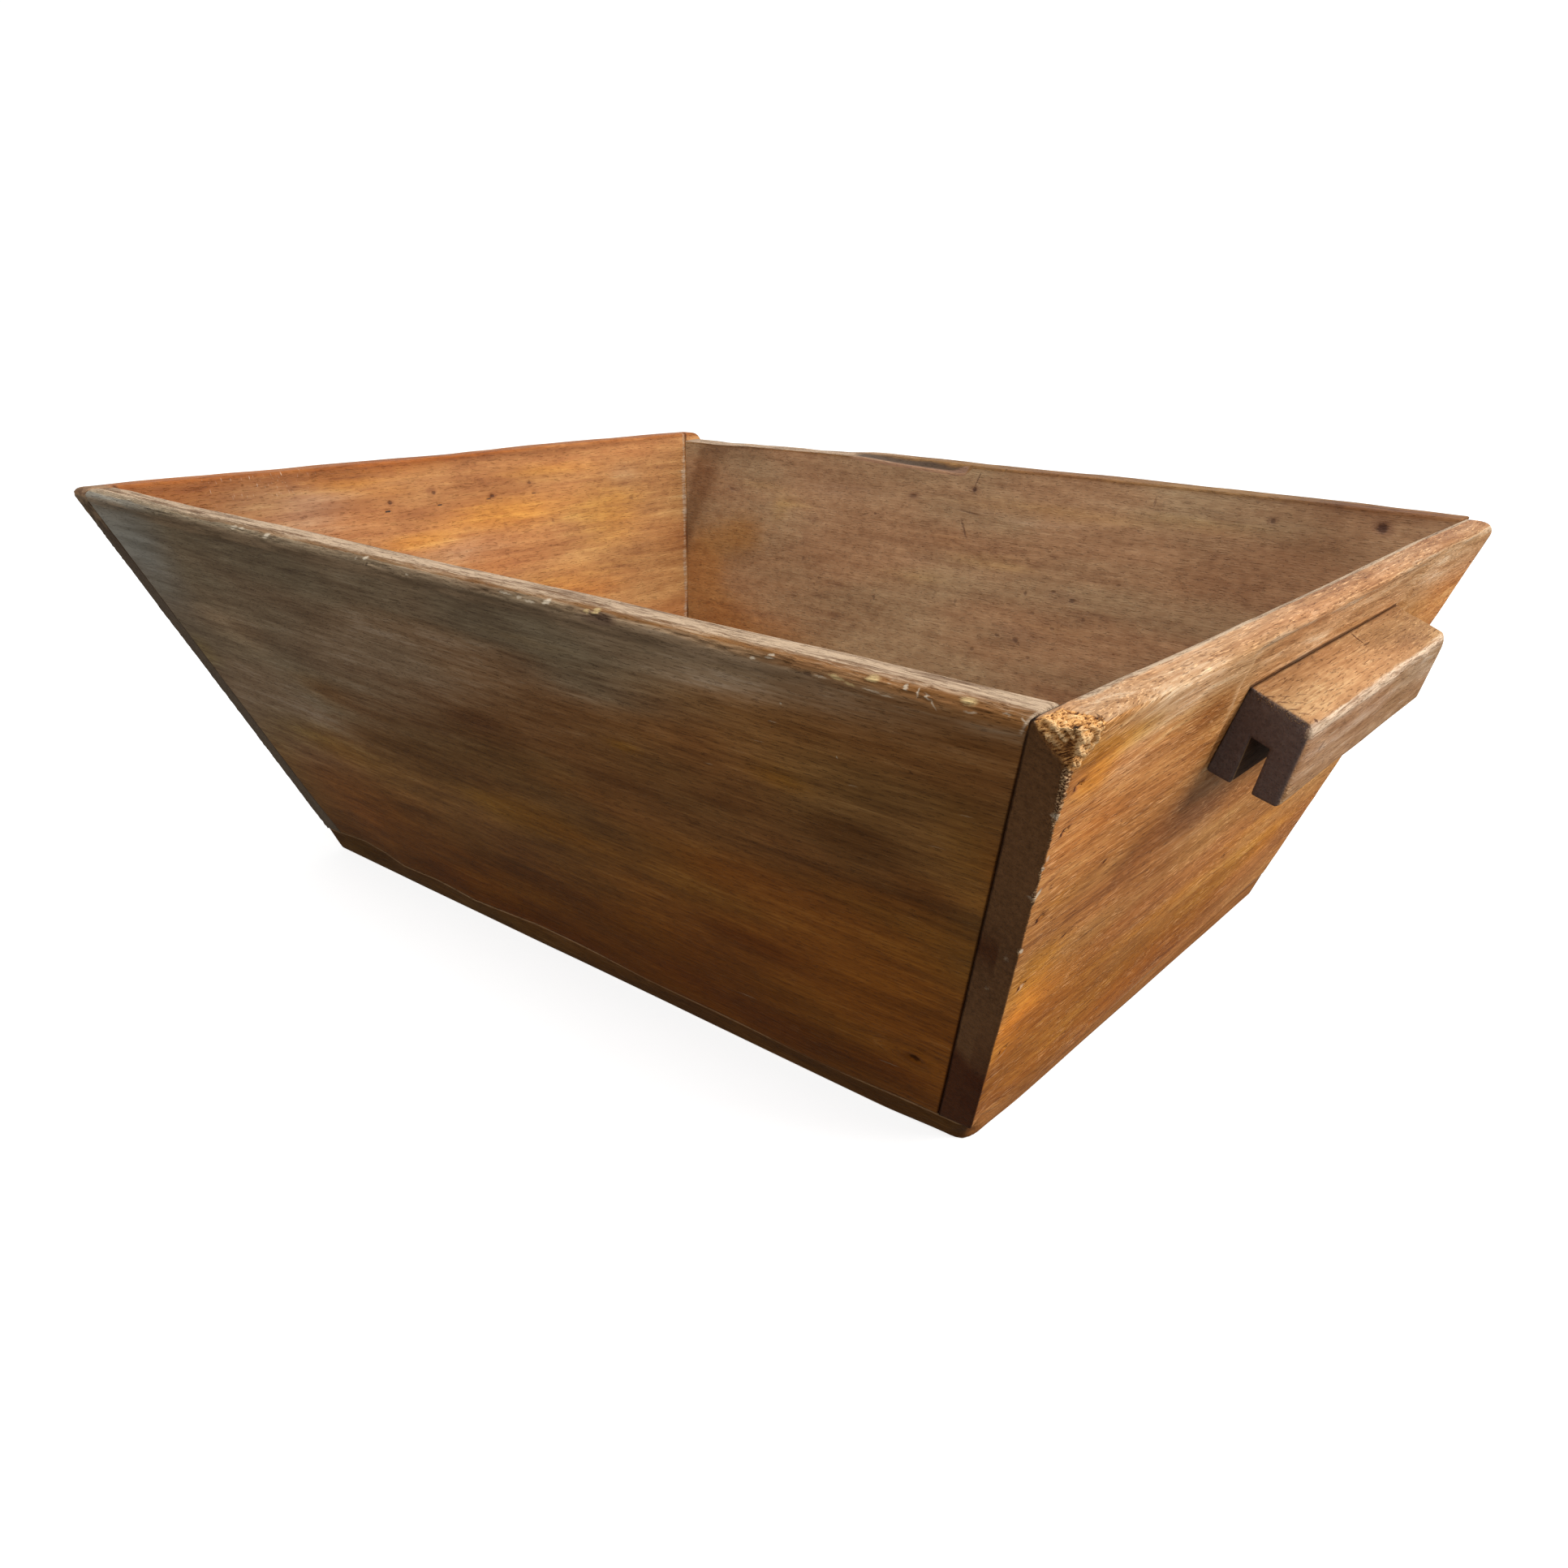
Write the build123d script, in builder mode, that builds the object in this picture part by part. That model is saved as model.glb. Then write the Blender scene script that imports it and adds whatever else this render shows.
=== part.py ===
"""Dough box: an open trough of four splayed boards on a nailed-on bottom, with a grooved grip on each end.

Frame: millimetres, +Z up, origin at the middle of the underside, X along the two long side boards,
Y along the two end boards. The end boards cap the side boards, and every joint is nailed.
"""
from build123d import *
import math
import os

# ---------------------------------------------------------------- driving dimensions, millimetres
rim_length = 820            # outside length at the rim, over both end boards
rim_width = 610             # outside width at the rim
base_length = 598           # outside length at the underside
base_width = 386            # outside width at the underside
box_height = 287            # underside to rim

end_thickness = 19          # the two end boards, square to their faces
side_thickness = 22         # the two long side boards, square to their faces
bottom_thickness = 17       # the bottom board

end_rim_radius = 6          # worn round-over on the outer arris of an end board's rim
side_rim_radius = 4         # the same on a side board
inner_rim_radius = 1.5      # eased arris towards the trough
foot_radius = 5             # worn lower arris of the bottom board
foot_corner_radius = 4      # upright corners of the bottom board

grip_length = 230           # handle block, along Y
grip_drop = 36              # rim's outer arris to the block's top, down the slope
grip_height = 50.5          # block's height at the wall, along the slope
grip_front_height = 46.5    # block's height at its front
grip_top_reach = 34.5       # how far the block's top stands out from the wall
grip_foot_reach = 38.5      # how far its foot stands out
groove_width = 11           # finger groove, cut up from below along the whole block
groove_depth = 28.5         # from the foot of the leg on the wall
back_leg = 12               # wall's face to the groove, at the foot
grip_edge_radius = 3.5      # handled long edges of the block
grip_leg_radius = 1.2       # tips of the two legs
grip_end_radius = 1         # arrises of the block's end grain
right_grip_shift = 4        # each block sits a little off the middle of its board, along Y
left_grip_shift = -3

seat_depth = 1.5            # flat pared into the end board's outer face, where the block is bedded
seat_margin = 15            # flat showing at each end of the block
seat_rise = 26              # flat showing above the block, up to the rounded rim

nail_head_length = 5        # cut nail's head, long side along the board
nail_head_width = 3
nail_head_thickness = 1.2
nail_shank_length = 3
nail_shank_width = 2
nail_taper = 0.6            # degrees on each face of the shank
nail_bite = 26              # shank in the second board, past the one that is nailed on
nail_set = 1.2              # heads punched in below the face

corner_nail_top_drop = 34   # first nail, down the slope from the rim
corner_nail_foot_rise = 70  # last nail, up the slope from the wall's foot
corner_nail_steps = (0, 0.14, 0.44, 0.71, 1)    # from the first to the last, as driven by eye

grip_nail_lift = 8          # over the groove's roof, in the block's solid wood
grip_nail_cover = 9         # wood left between a nail's point and the block's front
grip_nail_margin = 40       # block's end to its first nail
grip_nail_count = 4

bottom_nail_margin = 40     # wall's end to its first bottom nail
side_bottom_nail_count = 6
end_bottom_nail_count = 4

# ---------------------------------------------------------------- values that follow from them
end_splay = math.atan2((rim_length - base_length) / 2, box_height)
side_splay = math.atan2((rim_width - base_width) / 2, box_height)
end_level = end_thickness / math.cos(end_splay)         # board thickness, measured level
side_level = side_thickness / math.cos(side_splay)


def end_face(side):
    """Outer face of an end board: x along the board, y up the slope from 0 at the rim, z outwards.

    side is 1 at the right end and -1 at the left."""
    return Plane(
        origin=(side * rim_length / 2, 0, box_height),
        x_dir=(0, side, 0),
        z_dir=(side * math.cos(end_splay), 0, -math.sin(end_splay)),
    )


def side_face(side):
    """Outer face of a side board, laid out as an end face is. side is -1 in front and 1 at the back."""
    return Plane(
        origin=(0, side * rim_width / 2, box_height),
        x_dir=(-side, 0, 0),
        z_dir=(0, side * math.cos(side_splay), -math.sin(side_splay)),
    )


def upright_section(outwards):
    """Upright plane across a wall, through the middle of the box: x points out of the box, y points up."""
    return Plane(origin=(0, 0, 0), x_dir=outwards, z_dir=Vector(*outwards).cross(Vector(0, 0, 1)))


# ---------------------------------------------------------------- nails
# A row of nails is (head plane, places on it, reach of the shanks under their heads).
def driven_nails(head_plane, places, reach):
    """Cut nails with their heads let in under head_plane, their points going in against its normal."""
    with BuildPart() as nails:
        with BuildSketch(head_plane):
            with Locations(*places):
                Rectangle(nail_head_length, nail_head_width)
        extrude(amount=-nail_head_thickness)
        with BuildSketch(head_plane.offset(-nail_head_thickness)):
            with Locations(*places):
                Rectangle(nail_shank_length, nail_shank_width)
        extrude(amount=-reach, taper=nail_taper)
    return nails.part


def punched_holes(head_plane, places):
    """The holes that a nail punch leaves over sunk heads, cut past the face that they were driven from."""
    with BuildPart() as holes:
        with BuildSketch(head_plane):
            with Locations(*places):
                Rectangle(nail_head_length, nail_head_width)
        extrude(amount=2 * nail_set)
    return holes.part


def spaced(span, count):
    """Even places along a span centred on 0."""
    return [span * (index / (count - 1) - 0.5) for index in range(count)]


def corner_nails(end, side):
    """Nails through an end board into the end of a side board, in a row down the joint."""
    slope = (box_height - bottom_thickness) / math.cos(end_splay)
    row = slope - corner_nail_top_drop - corner_nail_foot_rise
    places = []
    for step in corner_nail_steps:
        drop = corner_nail_top_drop + step * row
        edge = rim_width / 2 - drop * math.cos(end_splay) * math.tan(side_splay)
        places.append((end * side * (edge - side_level / 2), -drop))
    return end_face(end).offset(-nail_set), places, end_thickness + nail_bite


def grip_nails(end, shift):
    """Nails from inside the trough, through the end board into the solid wood over the groove."""
    inner_face = end_face(end).offset(-end_thickness)
    drop = grip_drop + grip_height - groove_depth - grip_nail_lift
    places = [(end * shift + x, drop) for x in spaced(grip_length - 2 * grip_nail_margin, grip_nail_count)]
    inside = Plane(inner_face.origin, x_dir=inner_face.x_dir, z_dir=-inner_face.z_dir)
    reach = end_thickness + grip_top_reach - grip_nail_cover - nail_set
    return inside.offset(-nail_set), places, reach


def bottom_nails(face, foot_reach, thickness, span, count):
    """Nails up through the bottom board into a wall's foot, slanted to follow the wall.

    foot_reach is the level distance from the middle of the box to the wall's outer face at the underside."""
    up_wall = face.y_dir
    outwards = Vector(face.z_dir.X, face.z_dir.Y, 0).normalized()
    splay = math.acos(up_wall.Z)
    middle = outwards * (foot_reach - thickness / 2 / math.cos(splay))
    head_plane = Plane(middle + up_wall * nail_set, x_dir=face.x_dir, z_dir=-up_wall)
    return head_plane, [(x, 0) for x in spaced(span, count)], bottom_thickness / math.cos(splay) + nail_bite


nail_rows = {}
for end, end_name in ((1, "right"), (-1, "left")):
    for side, side_name in ((-1, "front"), (1, "back")):
        nail_rows[f"{side_name}_{end_name}_corner_nails"] = corner_nails(end, side)
nail_rows["right_grip_nails"] = grip_nails(1, right_grip_shift)
nail_rows["left_grip_nails"] = grip_nails(-1, left_grip_shift)
for side, side_name in ((-1, "front"), (1, "back")):
    nail_rows[f"{side_name}_bottom_nails"] = bottom_nails(
        side_face(side), base_width / 2, side_thickness,
        base_length - 2 * (end_level + bottom_nail_margin), side_bottom_nail_count,
    )
for end, end_name in ((1, "right"), (-1, "left")):
    nail_rows[f"{end_name}_bottom_nails"] = bottom_nails(
        end_face(end), base_length / 2, end_thickness,
        base_width - 2 * bottom_nail_margin, end_bottom_nail_count,
    )


nail_groups = {name: driven_nails(*row) for name, row in nail_rows.items()}
nail_holes = {name: punched_holes(*row[:2]) for name, row in nail_rows.items()}


def nails_named(word):
    """Every group of nails with the word in its name."""
    return [nails for name, nails in nail_groups.items() if word in name]


def holes_named(word):
    """The punched holes of those groups."""
    return [holes for name, holes in nail_holes.items() if word in name]


# ---------------------------------------------------------------- boards
def wall_blank(outwards, rim_reach, foot_reach, level, rim_radius, length):
    """A wall with its ends still uncut: level foot and rim, faces leaning out, rounded outer rim.

    rim_reach and foot_reach are the level distances from the middle of the box to the wall's outer
    face at the rim and at the underside, and level is the board's thickness measured level."""
    wall_foot_reach = foot_reach + (rim_reach - foot_reach) * bottom_thickness / box_height
    with BuildPart() as blank:
        with BuildSketch(upright_section(outwards)) as section:
            with BuildLine():
                Polyline(
                    (wall_foot_reach, bottom_thickness),
                    (rim_reach, box_height),
                    (rim_reach - level, box_height),
                    (wall_foot_reach - level, bottom_thickness),
                    close=True,
                )
            make_face()
            fillet(section.vertices().group_by(Axis.Y)[-1].sort_by(Axis.X)[-1], radius=rim_radius)
            fillet(section.vertices().group_by(Axis.Y)[-1].sort_by(Axis.X)[0], radius=inner_rim_radius)
        extrude(amount=length / 2, both=True)
    return blank.part


def end_board(end, grip_shift, cuts):
    """An end board: its ends are cut flush with the side boards' outer faces."""
    face = end_face(end)
    with BuildPart() as board:
        add(wall_blank((end, 0, 0), rim_length / 2, base_length / 2, end_level, end_rim_radius, rim_width))
        split(bisect_by=side_face(-1), keep=Keep.BOTTOM)
        split(bisect_by=side_face(1), keep=Keep.BOTTOM)
        with BuildSketch(face):
            seat_height = seat_rise + grip_height
            with Locations((end * grip_shift, seat_rise - grip_drop - seat_height / 2)):
                Rectangle(grip_length + 2 * seat_margin, seat_height)
        extrude(amount=-seat_depth, mode=Mode.SUBTRACT)
        add(cuts, mode=Mode.SUBTRACT)
    return board.part


def side_board(side, nails):
    """A side board: it butts between the inner faces of the two end boards."""
    with BuildPart() as board:
        add(wall_blank((0, side, 0), rim_width / 2, base_width / 2, side_level, side_rim_radius, rim_length))
        split(bisect_by=end_face(1).offset(-end_thickness), keep=Keep.BOTTOM)
        split(bisect_by=end_face(-1).offset(-end_thickness), keep=Keep.BOTTOM)
        add(nails, mode=Mode.SUBTRACT)
    return board.part


def grip(end, shift, nails):
    """Handle block: its foot and front are cut a little out of square, and so is the groove."""
    face = end_face(end)
    wall_point = face.from_local_coords(Vector(end * shift, -grip_drop, 0))
    lean = (grip_foot_reach - grip_top_reach) / grip_front_height
    roof_x = back_leg - lean * groove_depth
    with BuildPart() as block:
        with BuildSketch(Plane(wall_point, x_dir=face.z_dir, z_dir=-face.x_dir)) as section:
            with BuildLine():
                Polyline(
                    (-seat_depth, 0),
                    (grip_top_reach, 0),
                    (grip_foot_reach, -grip_front_height),
                    (-seat_depth, -grip_height),
                    close=True,
                )
            make_face()
            with BuildLine():
                Polyline(
                    (roof_x, groove_depth - grip_height),
                    (roof_x + groove_width, groove_depth - grip_height),
                    (roof_x + groove_width + 2 * lean * groove_depth, -groove_depth - grip_height),
                    (roof_x + 2 * lean * groove_depth, -groove_depth - grip_height),
                    close=True,
                )
            make_face(mode=Mode.SUBTRACT)
            fillet(section.vertices().sort_by(Axis.X)[-2:], radius=grip_edge_radius)
            beside_groove = section.vertices().filter_by(
                lambda corner: back_leg - groove_width / 2 < corner.X < back_leg + 1.5 * groove_width
            )
            fillet(beside_groove.sort_by(Axis.Y)[:2], radius=grip_leg_radius)
        extrude(amount=grip_length / 2, both=True)
        end_grain = block.faces().filter_by(Axis.Y).edges()
        clear_of_wall = end_grain.filter_by(lambda edge: face.to_local_coords(edge.center()).Z > 0)
        fillet(clear_of_wall, radius=grip_end_radius)
        add(nails, mode=Mode.SUBTRACT)
    return block.part


with BuildPart() as bottom_board:
    with BuildSketch():
        Rectangle(base_length, base_width)
    with BuildSketch(Plane.XY.offset(bottom_thickness)):
        Rectangle(
            base_length + 2 * bottom_thickness * math.tan(end_splay),
            base_width + 2 * bottom_thickness * math.tan(side_splay),
        )
    loft()
    fillet(bottom_board.edges().filter_by(Plane.XY, reverse=True), radius=foot_corner_radius)
    fillet(bottom_board.faces().sort_by(Axis.Z)[0].edges(), radius=foot_radius)
    add(nails_named("bottom") + holes_named("bottom"), mode=Mode.SUBTRACT)

pieces = {
    "bottom_board": bottom_board.part,
    "front_board": side_board(-1, nails_named("front")),
    "back_board": side_board(1, nails_named("back")),
    "right_end_board": end_board(1, right_grip_shift, nails_named("right") + holes_named("right")),
    "left_end_board": end_board(-1, left_grip_shift, nails_named("left") + holes_named("left")),
    "right_grip": grip(1, right_grip_shift, nails_named("right_grip")),
    "left_grip": grip(-1, left_grip_shift, nails_named("left_grip")),
}
pieces.update(nail_groups)

os.makedirs("parts", exist_ok=True)
for name, piece in pieces.items():
    piece.label = name
    export_step(piece, f"parts/{name}.step")
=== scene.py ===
"""Dough box: worn boards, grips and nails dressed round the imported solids.

The scene is in metres, +Z up, X along the two side boards, Y along the two end boards. Shapes are
reckoned in millimetres and go into their meshes in metres.
"""
import math

import bpy
import numpy as np
from mathutils import Matrix, Vector


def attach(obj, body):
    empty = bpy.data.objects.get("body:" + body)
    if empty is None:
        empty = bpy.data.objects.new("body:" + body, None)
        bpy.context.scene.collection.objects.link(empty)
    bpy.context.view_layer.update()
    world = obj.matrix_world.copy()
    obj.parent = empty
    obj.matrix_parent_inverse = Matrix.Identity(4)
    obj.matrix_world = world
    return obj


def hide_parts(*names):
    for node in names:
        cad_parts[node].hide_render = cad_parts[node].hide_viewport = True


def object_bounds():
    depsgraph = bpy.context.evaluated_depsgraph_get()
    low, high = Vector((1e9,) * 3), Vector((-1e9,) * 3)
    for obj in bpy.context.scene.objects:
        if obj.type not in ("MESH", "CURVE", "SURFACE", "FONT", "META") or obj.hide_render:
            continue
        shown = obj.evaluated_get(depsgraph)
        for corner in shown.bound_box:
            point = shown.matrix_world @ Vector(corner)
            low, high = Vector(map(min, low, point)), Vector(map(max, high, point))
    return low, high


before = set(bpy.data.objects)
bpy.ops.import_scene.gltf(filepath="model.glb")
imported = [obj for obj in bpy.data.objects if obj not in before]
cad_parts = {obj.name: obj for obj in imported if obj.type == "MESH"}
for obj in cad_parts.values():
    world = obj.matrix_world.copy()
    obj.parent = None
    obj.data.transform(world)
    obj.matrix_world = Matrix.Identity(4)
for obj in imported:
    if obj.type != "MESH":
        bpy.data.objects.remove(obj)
packed_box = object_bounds()

# ---------------------------------------------------------------- sizes, millimetres
RIM_LENGTH, RIM_WIDTH = 820, 610
BASE_LENGTH, BASE_WIDTH = 598, 386
HEIGHT = 287
END_THICKNESS, SIDE_THICKNESS, BOTTOM_THICKNESS = 19, 22, 17
END_SPLAY = math.atan2((RIM_LENGTH - BASE_LENGTH) / 2, HEIGHT)
SIDE_SPLAY = math.atan2((RIM_WIDTH - BASE_WIDTH) / 2, HEIGHT)
END_LEVEL = END_THICKNESS / math.cos(END_SPLAY)
SIDE_LEVEL = SIDE_THICKNESS / math.cos(SIDE_SPLAY)
GRIP_LENGTH, GRIP_DROP, GRIP_HEIGHT, GRIP_FRONT_HEIGHT = 230, 36, 50.5, 46.5
GRIP_TOP_REACH, GRIP_FOOT_REACH = 34.5, 38.5
GROOVE_WIDTH, GROOVE_DEPTH, BACK_LEG = 11, 28.5, 12
GRIP_SHIFTS = {1: 4, -1: -3}
SEAT_DEPTH = 1.5
CORNER_NAIL_DROPS = (34, 59.9, 115.6, 165.6, 219.4)
GRIP_NAIL_DROP, GRIP_NAIL_SPACING = 50, 50
NAIL_SLOT_LENGTH, NAIL_SLOT_WIDTH, NAIL_SLOT_DEPTH = 6, 3, 1.5
PARED_DEPTH = 1.7
SKIN_DEPTH = 6  # how deep a dent in one face is felt inside its board
FACE_REACH = 3  # a point this near to a face counts as on it
FRONT_KNOT = (280, 247)  # (u, d) of its middle
METRES, MILLIMETRES = 0.001, 1000.0  # a millimetre in metres, and a metre in millimetres


# ---------------------------------------------------------------- reckoning
def smooth(low, high, value):
    """0 up to low and 1 from high, with an S-curve 3t^2 - 2t^3 between."""
    t = np.clip((np.asarray(value, float) - low) / (high - low), 0, 1)
    return t * t * (3 - 2 * t)


def hill(value, middle, reach):
    """A bell of height 1 over the middle: e to the minus square of the distance in reaches."""
    return np.exp(-(((value - middle) / reach) ** 2))


def noise(points, size, seed=0):
    """Smooth hills and hollows between -1 and 1. Cells of the given size, in millimetres, for all
    axes or one for each, have fixed random heights at their corners, blended by 3t^2 - 2t^3."""
    cell = points / np.asarray(size, float)
    low = np.floor(cell).astype(np.int64)
    part = cell - low
    part = part * part * (3 - 2 * part)
    total = np.zeros(len(points))
    for corner in np.ndindex(2, 2, 2):
        key = ((low + corner) * (73856093, 19349663, 83492791)).sum(1) + seed * 7919
        key = (key ^ (key >> 15)) * 2246822519 & 0xFFFFFFFF
        key = (key ^ (key >> 13)) * 3266489917 & 0xFFFFFFFF
        height = ((key ^ (key >> 16)) & 0xFFFF) / 32767.5 - 1
        total += height * np.where(corner, part, 1 - part).prod(1)
    return total


def rough(points, size, seed=0, turns=4):
    """Noise on noise: each turn has half the size and 0.55 of the height of the one before."""
    size = np.asarray(size, float)
    return sum(noise(points, size / 2**k, seed + 31 * k) * 0.55**k for k in range(turns))


def graded(low, high, step, fine=()):
    """Rising values from low to high, a step apart, and closer where (middle, reach, step) asks."""
    line = np.linspace(low, high, 6000)
    gap = np.full_like(line, step)
    for middle, reach, small in fine:
        gap = np.minimum(gap, small + (step - small) * smooth(reach, reach + 4 * step, abs(line - middle)))
    count = np.concatenate(([0], np.cumsum((1 / gap[:-1] + 1 / gap[1:]) / 2 * np.diff(line))))
    return np.interp(np.linspace(0, count[-1], math.ceil(count[-1]) + 1), count, line)


def shell(*lines):
    """The skin of a block cut into a lattice by three rising lines of values.

    Gives the lattice points on its six faces, and four-sided faces that share them and look outwards."""
    counts = [len(line) for line in lines]
    number = np.arange(math.prod(counts)).reshape(counts)
    block = np.stack(np.meshgrid(*lines, indexing="ij"), -1).reshape(-1, 3)
    faces = []
    for axis in range(3):
        for end in (0, -1):
            sheet = number.take(end, axis)
            four = np.stack((sheet[:-1, :-1], sheet[1:, :-1], sheet[1:, 1:], sheet[:-1, 1:]), -1)
            four = four.reshape(-1, 4)
            faces.append(four[:, ::-1] if (end == -1) == (axis == 1) else four)
    used, faces = np.unique(np.concatenate(faces), return_inverse=True)
    return block[used], faces.reshape(-1, 4)


def eased(a, b, radius):
    """Rounds the arris between two faces. a and b are a point's distances from them: nearer to both
    than the radius, it is drawn on to the quarter circle that touches both faces."""
    u, v = radius - a, radius - b
    pull = np.where((u > 0) & (v > 0), np.minimum(radius / np.maximum(np.hypot(u, v), 1e-9), 1), 1)
    return a + u * (1 - pull), b + v * (1 - pull)


def outward_normals(points, faces):
    """Each point's normal: the sum of its faces' normals, made one long."""
    corners = points[faces]
    across = np.cross(corners[:, 2] - corners[:, 0], corners[:, 3] - corners[:, 1])
    total = np.zeros_like(points)
    for k in range(4):
        np.add.at(total, faces[:, k], across)
    return total / np.maximum(np.linalg.norm(total, axis=1), 1e-9)[:, None]


def facing_out(points, faces):
    """The faces, turned round if the volume that they shut in comes out negative."""
    a, b, c, d = (points[faces[:, k]] for k in range(4))
    volume = (np.cross(b - a, c - a) * a + np.cross(c - a, d - a) * a).sum()
    return faces if volume > 0 else faces[:, ::-1]


def put(name, data):
    """A new object in the scene, at the origin and unturned."""
    thing = bpy.data.objects.new(name, data)
    bpy.context.scene.collection.objects.link(thing)
    return thing


def make_piece(name, points, faces, material, marks):
    """A smooth-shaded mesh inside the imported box, with each mark kept at its points for the material."""
    mesh = bpy.data.meshes.new(name)
    mesh.from_pydata(np.clip(points * METRES, packed_box[0], packed_box[1]), [], faces)
    for mark, value in marks.items():
        layer = mesh.attributes.new(mark, "FLOAT", "POINT")
        layer.data.foreach_set("value", np.clip(value, 0, 1).astype(np.float32))
    mesh.shade_smooth()
    mesh.materials.append(material)
    return put(name, mesh)


def set_in_frame(piece, node):
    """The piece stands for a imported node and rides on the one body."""
    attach(piece, "root")
    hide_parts(node)


# ---------------------------------------------------------------- walls
# The tints that soft patches give a board, each multiplied over its colour. The cool one is painted light: a
# bluish painted sheen, and the colour of painted shadow; the stain one is stains and, along the front board's
# foot, painted shade.
TINTS = {"stain": (0.64, 0.55, 0.49), "gold": (1.15, 1.09, 0.62), "cool": (1.20, 1.88, 3.9),
         "red": (1.00, 0.80, 0.52), "faded": (1.55, 1.53, 1.50)}


class Wall:
    """A splayed wall. A place in it is (u, d, w), millimetres: u along the wall, d down its slope from
    the rim's outer arris, and w in from its outer face."""

    def __init__(self, outwards, thickness, rim_reach, foot_reach, half_length):
        self.splay = math.atan2(rim_reach - foot_reach, HEIGHT)
        self.thickness = thickness
        self.half_length = half_length
        self.slope = (HEIGHT - BOTTOM_THICKNESS) / math.cos(self.splay)
        level, up = np.array(outwards, float), np.array((0.0, 0.0, 1.0))
        self.along = np.array((abs(level[1]), abs(level[0]), 0.0))
        self.out = level * math.cos(self.splay) - up * math.sin(self.splay)
        self.down = -(level * math.sin(self.splay) + up * math.cos(self.splay))
        self.corner = level * rim_reach + up * HEIGHT

    def place(self, u, d, w):
        """Corner + u along + d down the slope - w outwards."""
        return self.corner + u[:, None] * self.along + d[:, None] * self.down - w[:, None] * self.out


def side_reach(height):
    """From the middle of the box to a side board's outer face, measured level. An end board ends flush
    with that face, so this is its half length too."""
    return BASE_WIDTH / 2 + (RIM_WIDTH - BASE_WIDTH) / 2 * height / HEIGHT


def end_reach(height):
    """From the middle of the box to an end board's outer face, measured level."""
    return BASE_LENGTH / 2 + (RIM_LENGTH - BASE_LENGTH) / 2 * height / HEIGHT


def side_half_length(height):
    """A side board ends at the inner faces of the end boards, which lean outwards."""
    return end_reach(height) - END_LEVEL


FRONT, BACK = (Wall((0, way, 0), SIDE_THICKNESS, RIM_WIDTH / 2, BASE_WIDTH / 2, side_half_length)
               for way in (-1, 1))
RIGHT, LEFT = (Wall((way, 0, 0), END_THICKNESS, RIM_LENGTH / 2, BASE_LENGTH / 2, side_reach)
               for way in (1, -1))


def seam_lift(points):
    """How far the seam over the bottom board strays up or down, all round the box. It is full at the
    outer faces and fades to nothing at the trough, and the walls and the bottom board share it."""
    x, y = points[:, 0], points[:, 1]
    front_line = (-320, -290, -252, -225, -200, -160, -115, -80, -46, 60, 200, 300)
    front = np.interp(x, front_line, (0, 1.5, 5, 3.5, -0.5, 0, -2.5, -0.5, 1.5, 0, -1, 0))
    right = np.interp(y, (-200, -190, -172, -141, -60, 60, 190), (0, 3.5, 0, -3, -1, 1, 0))
    share_x = np.clip(1 - (side_reach(BOTTOM_THICKNESS) - abs(y)) / SIDE_LEVEL, 0, 1)
    share_y = np.clip(1 - (end_reach(BOTTOM_THICKNESS) - abs(x)) / END_LEVEL, 0, 1)
    stray = 1.2 * noise(np.stack((x, y, 0 * x), 1), 70, 3)
    along_x = np.where(y < 0, front, 0) + stray
    along_y = np.where(x > 0, right, 0) + stray
    return np.where(share_y >= share_x, along_y * share_y, along_x * share_x)


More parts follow.
